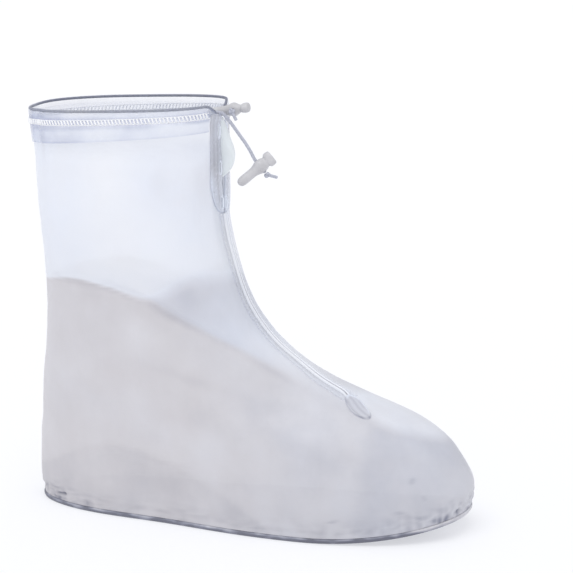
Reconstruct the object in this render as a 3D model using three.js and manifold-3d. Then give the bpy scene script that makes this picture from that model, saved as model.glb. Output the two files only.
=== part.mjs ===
// A high waterproof shoe cover of clear film, for a right foot, standing on its sole.
// Millimetres, toe along +X, outer side along -Y, up along +Z.
// The hollow boot is one film wall that follows a stack of level sections. Everything on its
// front is placed by walking over that wall from the line of the front slit.
import * as THREE from 'three';
import { mergeVertices } from 'three/addons/utils/BufferGeometryUtils.js';
import Module from 'manifold-3d';

const wasm = await Module();
wasm.setup();

// Driving dimensions of the boot
const FOOT_LENGTH = 300;
const FOOT_WIDTH = 112;
const FOOT_RISE = 112;
const RIM_HEIGHT = 266.5;
const RIM_RISE = 6;
const SHAFT_LENGTH = 132;
const SHAFT_WIDTH = 84;
const RIM_OVERHANG = 1.5;
const TOE_SPRING = 13;
const FLAT_LENGTH = 200;
const SPRING_FADE = 67;
const DENT_FADE = 22;
const WALL = 1.5;

// Driving dimensions of the sole
const SOLE_THICKNESS = 3;
const SOLE_LIP = 0.8;
const SOLE_BEVEL = 1.6;

// Clearance between two pieces that touch on the real one, and that of a piece laid on the film
const GAP = 0.3;
const SEAT = 0.45;

// Driving dimensions of the hem and its cord
const HEM_WALL = 1;
const HEM_DEPTH_BACK = 23;
const HEM_DEPTH_FRONT = 16;
const HEM_INNER_DEPTH = 10;
const HEM_END = 9.5;
const HEM_END_DEPTH = 6.5;
const CORD_DIAMETER = 2.2;
const RIM_DROOP = 5.5;
const INNER_DROOP = 1.5;
const DROOP_WIDTH = 20;
const DROOP_DEPTH = 30;

// Driving dimensions of the slit, its strips, bindings and end patch
const SLIT_REST = 25.64;
const SLIT_OPEN = 4;
const SLIT_NECK = 2.7;
const SLIT_SHUT = 0.7;
const SLIT_CLOSING = 12;
const STRIP_TOP = 10.5;
const STRIP_LENGTH = 58;
const STRIP_EDGE = 17.3;
const STRIP_ROUND = 22;
const STRIP_WALL = 1.2;
const SLOT_COUNT = 3;
const SLOT_PITCH = 23.5;
const SLOT_FIRST = 15;
const SLOT_LENGTH = 7;
const SLOT_WIDTH = 2.6;
const SLOT_INSET = 2.6;
const BEAD_WIDTH = 2.5;
const BEAD_HEIGHT = 2.1;
const BAND_WIDTH = 4.4;
const BAND_WALL = 1;
const BAND_EDGE = 0.6;
const BEAD_ROUND = 0.72;
const PATCH_LENGTH = 25;
const PATCH_WIDTH = 12.5;
const PATCH_WALL = 1.6;
const GUSSET_WALL = 1;
const GUSSET_WIDTH = 22;
const GUSSET_LENGTH = 170;
const GUSSET_START = 6.8;
const GUSSET_BULGE = 9;
const GUSSET_BULGE_LENGTH = 41;

// Driving dimensions of the toggles and the knots
const TOGGLE_LENGTH = 28;
const TOGGLE_WIDTH = 9.8;
const TOGGLE_HOLE_AT = 18;
const KNOT_DIAMETER = 4.6;
const KNOT_TAIL = 6.5;
const KNOT_SQUASH = 0.8;

// How finely the curved pieces are faceted
const SIDE_COLUMNS = 14;
const FINE_STEPS = 2;
const COARSE_RISE = 45;
const CORD_SIDES = 8;
const CORD_STEPS = 16;
const TOGGLE_SIDES = 12;
const SLOT_END_SIDES = 4;
const STRIP_RINGS = 6;
const BINDING_RINGS = 16;
const BEAD_SIDES = 4;
const GUSSET_RINGS = 18;
const GUSSET_CROWDING = 1.3;
const WALK_STEP = 1.5;
const SLIT_STEP = 10;

const clamp01 = (value) => Math.min(1, Math.max(0, value));
const mix = (a, b, share) => a + (b - a) * share;
const smooth = (value) => {
  const t = clamp01(value);
  return t * t * (3 - 2 * t);
};

// Places that follow from the driving dimensions
const HEEL_X = -FOOT_LENGTH / 2;
const TOE_X = FOOT_LENGTH / 2;
const RIM_BACK_X = HEEL_X - RIM_OVERHANG;
const SHAFT_FRONT_X = RIM_BACK_X + SHAFT_LENGTH;
const SPRING_X = HEEL_X + FLAT_LENGTH;
const FOOT_Z = SOLE_THICKNESS + GAP;
const CORD_RADIUS = CORD_DIAMETER / 2;
const CHANNEL_RADIUS = CORD_RADIUS + GAP;
const FOLD_RADIUS = CHANNEL_RADIUS + HEM_WALL;
const WALL_TOP = RIM_HEIGHT - FOLD_RADIUS - CHANNEL_RADIUS - GAP;

// Level sections of the foot, bottom to top. rise: share of the foot's rise above the sole.
// inset: how far the back stands in from the heel, share of the foot's length. reach: share of
// the way from the shaft's front to the toe tip. widest: where along the section it is widest.
// near, far: half widths, share of half the foot's width. tip: how far the front end leans to
// the inner side, share of its width. nose, heel: how square the front and the back are.
const FOOT_SECTIONS = [
  {
    rise: 0.00, inset: 0.008, reach: 0.982, widest: 0.62, near: 0.945,
    far: 0.945, tip: 0.05, nose: 2.30, heel: 2.3,
  },
  {
    rise: 0.06, inset: 0.002, reach: 0.996, widest: 0.62, near: 0.980,
    far: 0.980, tip: 0.05, nose: 2.15, heel: 2.3,
  },
  {
    rise: 0.13, inset: 0.000, reach: 1.000, widest: 0.62, near: 1.000,
    far: 1.000, tip: 0.05, nose: 2.10, heel: 2.3,
  },
  {
    rise: 0.22, inset: 0.000, reach: 0.992, widest: 0.62, near: 1.000,
    far: 1.000, tip: 0.05, nose: 2.00, heel: 2.3,
  },
  {
    rise: 0.36, inset: 0.001, reach: 0.955, widest: 0.62, near: 0.975,
    far: 0.975, tip: 0.05, nose: 1.90, heel: 2.3,
  },
  {
    rise: 0.49, inset: 0.004, reach: 0.905, widest: 0.61, near: 0.920,
    far: 0.930, tip: 0.05, nose: 1.85, heel: 2.3,
  },
  {
    rise: 0.61, inset: 0.007, reach: 0.815, widest: 0.56, near: 0.860,
    far: 0.870, tip: 0.05, nose: 1.85, heel: 2.4,
  },
  {
    rise: 0.72, inset: 0.011, reach: 0.635, widest: 0.48, near: 0.820,
    far: 0.830, tip: 0.04, nose: 2.05, heel: 2.5,
  },
  {
    rise: 0.83, inset: 0.015, reach: 0.445, widest: 0.45, near: 0.800,
    far: 0.800, tip: 0.02, nose: 2.20, heel: 2.6,
  },
  {
    rise: 0.94, inset: 0.018, reach: 0.318, widest: 0.45, near: 0.785,
    far: 0.785, tip: 0.01, nose: 2.35, heel: 2.6,
  },
];

// Level sections of the shaft, bottom to top. rise: share of the way from the foot's rise to
// the rim. near, far: half widths, share of half the shaft's width. The rest is as above.
const SHAFT_SECTIONS = [
  {
    rise: 0.05, inset: 0.021, reach: 0.208, widest: 0.46, near: 1.030,
    far: 1.030, tip: 0, nose: 2.45, heel: 2.6,
  },
  {
    rise: 0.19, inset: 0.022, reach: 0.112, widest: 0.50, near: 1.010,
    far: 1.010, tip: 0, nose: 2.50, heel: 2.6,
  },
  {
    rise: 0.37, inset: 0.019, reach: 0.050, widest: 0.50, near: 1.000,
    far: 1.000, tip: 0, nose: 2.60, heel: 2.6,
  },
  {
    rise: 0.56, inset: 0.011, reach: 0.009, widest: 0.50, near: 0.995,
    far: 0.995, tip: 0, nose: 2.70, heel: 2.6,
  },
  {
    rise: 0.79, inset: 0.003, reach: 0.001, widest: 0.50, near: 1.000,
    far: 1.000, tip: 0, nose: 2.80, heel: 2.6,
  },
  {
    rise: 1.00, inset: -0.005, reach: 0.000, widest: 0.50, near: 1.005,
    far: 1.005, tip: 0, nose: 2.80, heel: 2.6,
  },
];

// How far the slit's line leans to the outer side of the middle, as it comes down the instep.
// rise: share of the foot's rise. lean: share of the foot's width.
const SLIT_LINE = [
  { rise: 0.62, lean: 0.190 },
  { rise: 0.68, lean: 0.170 },
  { rise: 0.73, lean: 0.140 },
  { rise: 0.78, lean: 0.085 },
  { rise: 0.86, lean: 0.058 },
  { rise: 0.95, lean: 0.035 },
  { rise: 1.15, lean: 0.027 },
  { rise: 1.70, lean: 0.020 },
  { rise: 1.90, lean: 0.000 },
];

// Dents of the film, and swells where the depth is below nought. side: -1 outer, 1 inner.
// along and reach: shares of the foot's length. up and tall: shares of the rim's height.
// turn: how far the dent leans from level, in degrees. depth: share of the foot's width.
const DENTS = [
  { side: -1, along: 0.33, up: 0.06, reach: 0.17, tall: 0.15, turn: 0, depth: 0.060 },
  { side: 1, along: 0.38, up: 0.07, reach: 0.18, tall: 0.15, turn: 0, depth: 0.090 },
  { side: -1, along: 0.17, up: 0.42, reach: 0.10, tall: 0.10, turn: 20, depth: 0.022 },
  { side: 1, along: 0.17, up: 0.42, reach: 0.10, tall: 0.10, turn: 20, depth: 0.022 },
  { side: -1, along: 0.40, up: 0.43, reach: 0.13, tall: 0.03, turn: -38, depth: 0.014 },
  { side: -1, along: 0.52, up: 0.30, reach: 0.12, tall: 0.03, turn: -34, depth: 0.012 },
  { side: 1, along: 0.44, up: 0.42, reach: 0.13, tall: 0.03, turn: -38, depth: 0.014 },
  { side: -1, along: 0.05, up: 0.90, reach: 0.014, tall: 0.20, turn: 0, depth: 0.020 },
];

// How far the gusset bulges out along its length. along: share of the bulge's length from its
// top. rise: share of its greatest height.
const BULGE = [
  { along: 0.00, rise: 0.30 },
  { along: 0.30, rise: 0.72 },
  { along: 0.58, rise: 1.00 },
  { along: 0.82, rise: 0.72 },
  { along: 1.00, rise: 0.00 },
];

// The shape of a toggle. along: share of its length from its round end. tall: half width the
// way that the cord passes through it, and wide: half width across that, both shares of half
// the toggle's width.
const TOGGLE_SHAPE = [
  { along: 0.000, tall: 0.22, wide: 0.22 },
  { along: 0.025, tall: 0.43, wide: 0.43 },
  { along: 0.065, tall: 0.57, wide: 0.57 },
  { along: 0.120, tall: 0.63, wide: 0.63 },
  { along: 0.440, tall: 0.65, wide: 0.65 },
  { along: 0.540, tall: 0.80, wide: 0.74 },
  { along: 0.600, tall: 0.93, wide: 0.88 },
  { along: 0.680, tall: 0.93, wide: 0.88 },
  { along: 0.750, tall: 0.84, wide: 0.64 },
  { along: 0.810, tall: 0.72, wide: 0.50 },
  { along: 0.850, tall: 0.96, wide: 0.60 },
  { along: 0.930, tall: 1.00, wide: 0.66 },
  { along: 0.985, tall: 0.92, wide: 0.58 },
  { along: 1.000, tall: 0.70, wide: 0.42 },
];

// The free end of the cord, from the outer mouth of the hem's channel through the lower toggle.
// ahead, aside and up are lengths from that mouth, chosen by hand.
const CORD_ROUTE = [
  { ahead: 0.0, aside: 0.0, up: 0.0 },
  { ahead: 0.2, aside: 1.0, up: -0.3 },
  { ahead: 1.1, aside: 2.1, up: -0.5 },
  { ahead: 2.6, aside: 2.9, up: -0.7 },
  { ahead: 4.4, aside: 3.2, up: -1.4 },
  { ahead: 6.0, aside: 3.4, up: -2.9 },
  { ahead: 8.6, aside: 3.5, up: -6.0 },
  { ahead: 12.2, aside: 3.7, up: -10.6 },
  { ahead: 15.4, aside: 4.0, up: -15.0 },
  { ahead: 18.7, aside: 4.3, up: -19.4 },
  { ahead: 22.0, aside: 4.6, up: -24.5 },
  { ahead: 25.3, aside: 4.8, up: -30.4 },
  { ahead: 28.7, aside: 5.0, up: -34.3 },
  { ahead: 32.1, aside: 5.2, up: -38.2 },
];

// The inner end of the cord, from the inner mouth of the channel through the upper toggle
const STUB_ROUTE = [
  { ahead: 0.2, aside: -1.0, up: -0.1 },
  { ahead: 1.0, aside: -2.0, up: -0.2 },
  { ahead: 2.6, aside: -2.5, up: -0.4 },
  { ahead: 4.6, aside: -2.2, up: -0.7 },
  { ahead: 6.4, aside: -1.6, up: -0.9 },
  { ahead: 8.0, aside: -1.7, up: -1.1 },
  { ahead: 8.9, aside: -2.8, up: -1.2 },
  { ahead: 9.2, aside: -4.0, up: -1.2 },
  { ahead: 10.1, aside: -13.8, up: -1.5 },
];

// Which way the bar of each toggle points, from its round end to its head
const LOWER_BAR_WAY = new THREE.Vector3(0.693, 0.368, 0.620);
const UPPER_BAR_WAY = new THREE.Vector3(0.98, 0.06, 0.165);

// A smooth curve through one column of a table, whose rows rise along the column named at
function through(rows, at, name) {
  const slopes = rows.map((row, i) => {
    const before = rows[Math.max(0, i - 1)];
    const after = rows[Math.min(rows.length - 1, i + 1)];
    return (after[name] - before[name]) / (after[at] - before[at]);
  });
  return (value) => {
    let i = 0;
    while (i < rows.length - 2 && value > rows[i + 1][at]) i += 1;
    const span = rows[i + 1][at] - rows[i][at];
    const t = clamp01((value - rows[i][at]) / span);
    const low = (1 + 2 * t) * (1 - t) ** 2 * rows[i][name] + t * (1 - t) ** 2 * span * slopes[i];
    const high = t * t * (3 - 2 * t) * rows[i + 1][name] - t * t * (1 - t) * span * slopes[i + 1];
    return low + high;
  };
}

// The sections at their real sizes, each at its own height z
function realSection(row, z, halfWidth) {
  const back = HEEL_X + row.inset * FOOT_LENGTH;
  const front = mix(SHAFT_FRONT_X, TOE_X, row.reach);
  return {
    z, back, front,
    middle: mix(back, front, row.widest),
    near: row.near * halfWidth,
    far: row.far * halfWidth,
    tip: row.tip * FOOT_WIDTH,
    nose: row.nose,
    heel: row.heel,
  };
}
const SECTIONS = [
  ...FOOT_SECTIONS.map((row) => (
    realSection(row, mix(FOOT_Z, FOOT_RISE, row.rise), FOOT_WIDTH / 2))),
  ...SHAFT_SECTIONS.map((row) => (
    realSection(row, mix(FOOT_RISE, RIM_HEIGHT, row.rise), SHAFT_WIDTH / 2))),
];
const columnNames = ['back', 'front', 'middle', 'near', 'far', 'tip', 'nose', 'heel'];
const curves = Object.fromEntries(columnNames.map((name) => [name, through(SECTIONS, 'z', name)]));
const slitLean = through(SLIT_LINE, 'rise', 'lean');

// How far the toe end is lifted off the floor
function spring(x, z) {
  const ahead = Math.max(0, (x - SPRING_X) / (TOE_X - SPRING_X));
  const fade = clamp01(1 - (z - FOOT_Z) / SPRING_FADE);
  return TOE_SPRING * ahead ** 2 * fade;
}

// The rim climbs towards the front, and droops where the strips hang at the slit
function rimShift(x, y, z) {
  const share = clamp01((z - FOOT_RISE) / (RIM_HEIGHT - FOOT_RISE));
  const climb = RIM_RISE * share ** 2 * clamp01((x - RIM_BACK_X) / SHAFT_LENGTH);
  const front = smooth((x - (SHAFT_FRONT_X - DROOP_WIDTH)) / DROOP_WIDTH);
  const drop = mix(RIM_DROOP, INNER_DROOP, smooth(0.5 + y / (2 * SLIT_OPEN)));
  const droop = smooth(1 - Math.abs(y) / DROOP_WIDTH) * smooth(1 - (RIM_HEIGHT - z) / DROOP_DEPTH);
  return climb - drop * front * droop;
}

// How deep the dents press the film in at a point
function dentDepth(x, y, z) {
  let depth = 0;
  for (const dent of DENTS) {
    const ahead = x - (HEEL_X + dent.along * FOOT_LENGTH);
    const above = z - dent.up * RIM_HEIGHT;
    const lean = THREE.MathUtils.degToRad(dent.turn);
    const along = (ahead * Math.cos(lean) + above * Math.sin(lean)) / (dent.reach * FOOT_LENGTH);
    const across = (above * Math.cos(lean) - ahead * Math.sin(lean)) / (dent.tall * RIM_HEIGHT);
    const side = smooth(dent.side * y / DENT_FADE);
    depth += dent.depth * FOOT_WIDTH * side * Math.exp(-(along ** 2) - across ** 2);
  }
  return depth;
}

// A point of the film's outer face. turn is 0 at the front and half a turn at the back, and
// it is below nought on the outer side.
function skin(z, turn) {
  const section = {};
  for (const name of columnNames) section[name] = curves[name](z);
  const ahead = Math.cos(turn);
  const aside = Math.sin(turn);
  const power = mix(section.heel, section.nose, smooth(0.5 + ahead));
  const size = (Math.abs(ahead) ** power + Math.abs(aside) ** power) ** (-1 / power);
  const length = ahead > 0 ? section.front - section.middle : section.middle - section.back;
  const width = aside < 0 ? section.near : section.far;
  const x = section.middle + length * size * ahead;
  const lean = section.tip * Math.max(0, size * ahead) ** 2;
  const y = width * size * aside + lean;
  const flatY = y * (1 - dentDepth(x, y, z) / Math.max(width, 1));
  return new THREE.Vector3(x, flatY, z + spring(x, z) + rimShift(x, y, z));
}

// The film's outer face at a spot: its point, its two tangents and its outward normal
function face(z, turn) {
  const dz = 0.05;
  const dturn = 0.001;
  const up = skin(z + dz, turn).sub(skin(z - dz, turn)).divideScalar(2 * dz);
  const round = skin(z, turn + dturn).sub(skin(z, turn - dturn)).divideScalar(2 * dturn);
  const out = new THREE.Vector3().crossVectors(round, up).normalize();
  return { point: skin(z, turn), up, round, out };
}

// Walks over the film from a spot, and gives the spot it comes to
function walk(spot, way, distance) {
  const steps = Math.max(1, Math.ceil(Math.abs(distance) / WALK_STEP));
  let { z, turn } = spot;
  for (let i = 0; i < steps; i += 1) {
    const here = face(z, turn);
    const flat = way.clone().addScaledVector(here.out, -way.dot(here.out)).normalize();
    const move = flat.multiplyScalar(distance / steps);
    const uu = here.up.dot(here.up);
    const ur = here.up.dot(here.round);
    const rr = here.round.dot(here.round);
    const det = uu * rr - ur * ur;
    z += (move.dot(here.up) * rr - move.dot(here.round) * ur) / det;
    turn += (move.dot(here.round) * uu - move.dot(here.up) * ur) / det;
  }
  return { z, turn };
}

// The line of the slit, as spots a short way apart, with the length from the rim down
function slitSpot(z) {
  const lean = -slitLean(z / FOOT_RISE) * FOOT_WIDTH;
  let low = -Math.PI / 2;
  let high = Math.PI / 4;
  for (let i = 0; i < 40; i += 1) {
    const turn = (low + high) / 2;
    if (skin(z, turn).y < lean) low = turn;
    else high = turn;
  }
  return { z, turn: (low + high) / 2 };
}
const slitLine = [];
for (let z = RIM_HEIGHT; z > FOOT_RISE * SLIT_LINE[0].rise; z -= 1) {
  const spot = slitSpot(z);
  const point = skin(spot.z, spot.turn);
  const last = slitLine[slitLine.length - 1];
  slitLine.push({ ...spot, point, length: last ? last.length + last.point.distanceTo(point) : 0 });
}

// The slit ends short of the end of its line
const slitEnd = slitLine[slitLine.length - 1].length - SLIT_REST;

// A station of the slit: its spot, and the ways down along it and to the inner side
function station(length) {
  let i = 0;
  while (i < slitLine.length - 2 && slitLine[i + 1].length < length) i += 1;
  const a = slitLine[i];
  const b = slitLine[i + 1];
  const share = (length - a.length) / (b.length - a.length);
  const spot = { z: mix(a.z, b.z, clamp01(share)), turn: mix(a.turn, b.turn, clamp01(share)) };
  const down = b.point.clone().sub(a.point).normalize();
  const here = face(spot.z, spot.turn);
  const point = a.point.clone().lerp(b.point, share);
  const side = new THREE.Vector3().crossVectors(here.out, down).normalize();
  return { spot, point, down, out: here.out, side };
}

// A point beside the slit: aside over the film to the inner side, and lifted off it
function beside(length, aside, lift) {
  const here = station(length);
  const spot = walk(here.spot, here.side, aside);
  const there = face(spot.z, spot.turn);
  return there.point.clone().addScaledVector(there.out, lift);
}

// Turns a list of points and triangles into a geometry with shared vertices
function geometryOf(points, triangles) {
  const geometry = new THREE.BufferGeometry();
  const places = points.flatMap((p) => [p.x, p.y, p.z]);
  geometry.setAttribute('position', new THREE.Float32BufferAttribute(places, 3));
  geometry.setIndex(triangles);
  return geometry;
}

// Turns the faces out where they came to point in
function facingOut(geometry) {
  const p = geometry.attributes.position;
  const index = geometry.index.array;
  const corner = (i) => new THREE.Vector3().fromBufferAttribute(p, index[i]);
  let volume = 0;
  for (let i = 0; i < index.length; i += 3) {
    volume += corner(i).dot(corner(i + 1).cross(corner(i + 2)));
  }
  if (volume < 0) {
    for (let i = 0; i < index.length; i += 3) [index[i], index[i + 1]] = [index[i + 1], index[i]];
  }
  return geometry;
}

// A solid through rings of as many points each, closed by its two end faces. outline is the
// shape of an end face on a plane.
function loft(rings, outline) {
  const count = rings[0].length;
  const triangles = [];
  for (let i = 0; i < rings.length - 1; i += 1) {
    for (let j = 0; j < count; j += 1) {
      const k = (j + 1) % count;
      const [a, b] = [i * count + j, i * count + k];
      triangles.push(a, b, b + count, a, b + count, a + count);
    }
  }
  const last = (rings.length - 1) * count;
  const turned = THREE.ShapeUtils.isClockWise(outline);
  for (const corners of THREE.ShapeUtils.triangulateShape(outline, [])) {
    const clockwise = THREE.ShapeUtils.isClockWise(corners.map((i) => outline[i]));
    const [a, b, c] = clockwise === turned ? corners : corners.reverse();
    triangles.push(b, a, c, last + a, last + b, last + c);
  }
  return facingOut(geometryOf(rings.flat(), triangles));
}

// The booleans
function toSolid(geometry) {
  const bare = geometry.clone();
  bare.deleteAttribute('normal');
  bare.deleteAttribute('uv');
  const merged = mergeVertices(bare, 1e-4);
  return new wasm.Manifold(new wasm.Mesh({
    numProp: 3,
    vertProperties: merged.attributes.position.array,
    triVerts: Uint32Array.from(merged.index.array),
  }));
}
function fromSolid(solid) {
  const mesh = solid.getMesh();
  const geometry = new THREE.BufferGeometry();
  geometry.setAttribute('position', new THREE.BufferAttribute(new Float32Array(mesh.vertProperties), 3));
  geometry.setIndex(new THREE.BufferAttribute(new Uint32Array(mesh.triVerts), 1));
  return geometry;
}
function cut(geometry, cutters) {
  let solid = toSolid(geometry);
  for (const cutter of cutters) solid = solid.subtract(toSolid(cutter));
  return fromSolid(solid);
}

// How wide half the slit is at a length down from the rim
const stripEnd = STRIP_TOP + STRIP_LENGTH;
function slitHalf(length) {
  const bulgeEnd = GUSSET_START + GUSSET_BULGE_LENGTH;
  const narrow = mix(SLIT_OPEN, SLIT_NECK, smooth((length - bulgeEnd / 2) / SLIT_CLOSING));
  return mix(narrow, SLIT_SHUT, smooth((length - bulgeEnd) / SLIT_CLOSING));
}

// The turns of the columns, once round from the front. Some of them stand where the hem ends
// and where the strips end, so that the pieces on the rim have their edges in common.
const turnAt = (aside) => walk(station(0).spot, station(0).side, aside).turn;
const mouthTurn = turnAt(HEM_END);
const stripTurns = [1, 2].map((gaps) => turnAt(STRIP_EDGE + gaps * GAP * 2));
const sideTurns = [mouthTurn / 2, mouthTurn, ...stripTurns];
for (let i = 1; i < SIDE_COLUMNS; i += 1) {
  sideTurns.push(mix(stripTurns[1], Math.PI, i / SIDE_COLUMNS));
}
const TURNS = [0, ...sideTurns, Math.PI, ...sideTurns.map((turn) => 2 * Math.PI - turn).reverse()];
const COLUMNS = TURNS.length;
const hemTurns = TURNS.slice(2, COLUMNS - 1);

// The hollow film wall, open at the top and over the sole
function filmWall() {
  const levels = [];
  for (let i = 0; i < SECTIONS.length - 1; i += 1) {
    const steps = SECTIONS[i].z > COARSE_RISE ? FINE_STEPS : 1;
    for (let j = 0; j < steps; j += 1) levels.push(mix(SECTIONS[i].z, SECTIONS[i + 1].z, j / steps));
  }
  const heights = [...levels.filter((z) => z < WALL_TOP - HEM_WALL), WALL_TOP];
  const points = [];
  for (const inside of [0, 1]) {
    for (const z of heights) {
      for (let j = 0; j < COLUMNS; j += 1) {
        const here = face(z, TURNS[j]);
        const way = here.out.clone();
        if (z === heights[0] || z === WALL_TOP) way.setZ(0).normalize();
        points.push(here.point.clone().addScaledVector(way, -inside * WALL));
      }
    }
  }
  const triangles = [];
  const quad = (a, b, c, d) => triangles.push(a, b, c, a, c, d);
  const inner = heights.length * COLUMNS;
  const top = (heights.length - 1) * COLUMNS;
  for (let j = 0; j < COLUMNS; j += 1) {
    const k = (j + 1) % COLUMNS;
    for (let i = 0; i < heights.length - 1; i += 1) {
      const row = i * COLUMNS;
      quad(row + j, row + k, row + COLUMNS + k, row + COLUMNS + j);
      quad(inner + row + k, inner + row + j, inner + row + COLUMNS + j, inner + row + COLUMNS + k);
    }
    quad(top + j, top + k, inner + top + k, inner + top + j);
    quad(inner + j, inner + k, k, j);
  }
  return facingOut(geometryOf(points, triangles));
}

// The sole, a plate with a bevelled lower edge that lifts with the toe
function solePlate() {
  const rings = [
    { out: SOLE_LIP - SOLE_BEVEL, z: 0 },
    { out: SOLE_LIP, z: SOLE_BEVEL },
    { out: SOLE_LIP, z: SOLE_THICKNESS },
  ];
  const points = rings.flatMap((ring) => Array.from({ length: COLUMNS }, (_, j) => {
    const here = face(FOOT_Z, TURNS[j]);
    const way = here.out.clone().setZ(0).normalize();
    const point = here.point.clone().addScaledVector(way, ring.out);
    point.z = ring.z + spring(point.x, FOOT_Z);
    return point;
  }));
  const triangles = [];
  const quad = (a, b, c, d) => triangles.push(a, b, c, a, c, d);
  for (let i = 0; i < rings.length - 1; i += 1) {
    for (let j = 0; j < COLUMNS; j += 1) {
      const k = (j + 1) % COLUMNS;
      quad(i * COLUMNS + j, i * COLUMNS + k, (i + 1) * COLUMNS + k, (i + 1) * COLUMNS + j);
    }
  }
  const top = (rings.length - 1) * COLUMNS;
  for (let j = 0; j < COLUMNS / 2; j += 1) {
    const near = (COLUMNS - j) % COLUMNS;
    const nearNext = COLUMNS - j - 1;
    quad(top + j, top + j + 1, top + nearNext, top + near);
    quad(near, nearNext, j + 1, j);
  }
  const solid = geometryOf(points, triangles.filter((_, i) => {
    const start = i - i % 3;
    const [a, b, c] = triangles.slice(start, start + 3);
    return a !== b && b !== c && a !== c;
  }));
  return facingOut(solid);
}

// The space of the slit, cut from the film down to the middle of the end patch
function slitCutter() {
  const depth = 2 * WALL;
  const lengths = [-SLIT_STEP];
  for (let length = 0; length < slitEnd; length += SLIT_STEP) lengths.push(length);
  lengths.push(slitEnd);
  const rings = lengths.map((length) => {
    const here = station(Math.max(0, length));
    const half = slitHalf(length);
    const point = here.point.clone().addScaledVector(here.down, Math.min(0, length));
    return [[-1, -1], [1, -1], [1, 1], [-1, 1]].map(([side, out]) => (
      point.clone().addScaledVector(here.side, side * half).addScaledVector(here.out, out * depth)));
  });
  return loft(rings, [[-1, -1], [1, -1], [1, 1], [-1, 1]].map(([x, y]) => new THREE.Vector2(x, y)));
}

// A thin layer that lies on the film from one length to another, between two lines beside it
function layer(lengths, inEdge, outEdge, lift, wall, across) {
  const flat = [];
  for (let i = 0; i <= across; i += 1) flat.push([i / across, 0]);
  for (let i = across; i >= 0; i -= 1) flat.push([i / across, 1]);
  const rings = lengths.map((length) => flat.map(([share, high]) => (
    beside(length, mix(inEdge(length), outEdge(length), share), lift + high * wall))));
  return loft(rings, flat.map(([x, y]) => new THREE.Vector2(x, y)));
}

// The strip beside the slit, with a round lower end. The shares are of the length of that end.
const ROUND_SHARES = [0, 0.3, 0.55, 0.75, 0.9, 0.98, 1];
const slotPlaces = Array.from({ length: SLOT_COUNT }, (_, i) => SLOT_FIRST + i * SLOT_PITCH);
const stripIn = (length) => slitHalf(length) + GAP;
function stripOut(length) {
  const past = clamp01((length - (stripEnd - STRIP_ROUND)) / STRIP_ROUND);
  return mix(stripIn(length) + SLOT_WIDTH, STRIP_EDGE, Math.sqrt(1 - past ** 2));
}
function slotCutters(side) {
  const straight = SLOT_LENGTH / 2 - SLOT_WIDTH / 2;
  const radius = SLOT_WIDTH / 2;
  const shape = new THREE.Shape();
  shape.absarc(0, straight, radius, 0, Math.PI, false);
  shape.absarc(0, -straight, radius, Math.PI, 2 * Math.PI, false);
  shape.closePath();
  return slotPlaces.map((length) => {
    const here = station(length);
    const spot = walk(here.spot, here.side, side * (stripIn(length) + SLOT_INSET));
    const there = face(spot.z, spot.turn);
    const depth = 4 * (WALL + STRIP_WALL);
    const settings = { depth, bevelEnabled: false, curveSegments: SLOT_END_SIDES };
    const prism = new THREE.ExtrudeGeometry(shape, settings);
    prism.translate(0, 0, -depth / 2);
    const across = new THREE.Vector3().crossVectors(here.down, there.out).normalize();
    const along = new THREE.Vector3().crossVectors(there.out, across);
    const matrix = new THREE.Matrix4().makeBasis(across, along, there.out).setPosition(there.point);
    return prism.applyMatrix4(matrix);
  });
}
function strip(side, cutters) {
  const lengths = [];
  for (let i = 0; i < STRIP_RINGS; i += 1) {
    lengths.push(mix(STRIP_TOP, stripEnd - STRIP_ROUND, i / STRIP_RINGS));
  }
  for (const share of ROUND_SHARES) lengths.push(stripEnd - STRIP_ROUND * (1 - share));
  const plate = layer(lengths, (l) => side * stripIn(l), (l) => side * stripOut(l), SEAT, STRIP_WALL, 3);
  return cut(plate, cutters);
}

// The binding on one edge of the shut slit: a round bead with a flat band beside it
const patchStart = slitEnd - PATCH_LENGTH * 0.5;
function binding(side) {
  const inner = SLIT_SHUT / 2;
  const outer = inner + BEAD_WIDTH;
  const edge = outer + BAND_WIDTH;
  const section = [[outer, BAND_WALL], [edge, BAND_EDGE], [edge, 0], [inner, 0]];
  for (let i = 0; i <= BEAD_SIDES; i += 1) {
    const angle = Math.PI * (1 - BEAD_ROUND * i / BEAD_SIDES);
    section.push([
      inner + BEAD_WIDTH / 2 * (1 + Math.cos(angle)),
      BEAD_HEIGHT * (0.5 + 0.5 * Math.sin(angle)),
    ]);
  }
  const start = stripEnd + GAP * 2;
  const rings = Array.from({ length: BINDING_RINGS + 1 }, (_, i) => {
    const length = mix(start, patchStart - GAP * 2, i / BINDING_RINGS);
    return section.map(([aside, high]) => beside(length, side * aside, SEAT + high));
  });
  return loft(rings, section.map(([x, y]) => new THREE.Vector2(x, y)));
}

// The oval patch that closes the slit's lower end, with a raised edge. Its stations are shares
// of half its length. side: share of half its width there. high: share of its thickness.
const PATCH_STATIONS = [-0.98, -0.85, -0.6, -0.3, 0, 0.3, 0.6, 0.85, 0.98];
const PATCH_SHAPE = [
  { side: -1.00, high: 0.0 },
  { side: -0.35, high: 0.0 },
  { side: 0.35, high: 0.0 },
  { side: 1.00, high: 0.0 },
  { side: 1.00, high: 0.8 },
  { side: 0.80, high: 1.0 },
  { side: 0.50, high: 0.6 },
  { side: -0.50, high: 0.6 },
  { side: -0.80, high: 1.0 },
  { side: -1.00, high: 0.8 },
];
function endPatch() {
  const rings = PATCH_STATIONS.map((share) => {
    const half = PATCH_WIDTH / 2 * Math.sqrt(1 - share ** 2);
    const length = slitEnd + share * PATCH_LENGTH / 2;
    return PATCH_SHAPE.map(({ side, high }) => beside(length, side * half, SEAT + high * PATCH_WALL));
  });
  return loft(rings, PATCH_SHAPE.map(({ side, high }) => new THREE.Vector2(side, high)));
}

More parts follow.
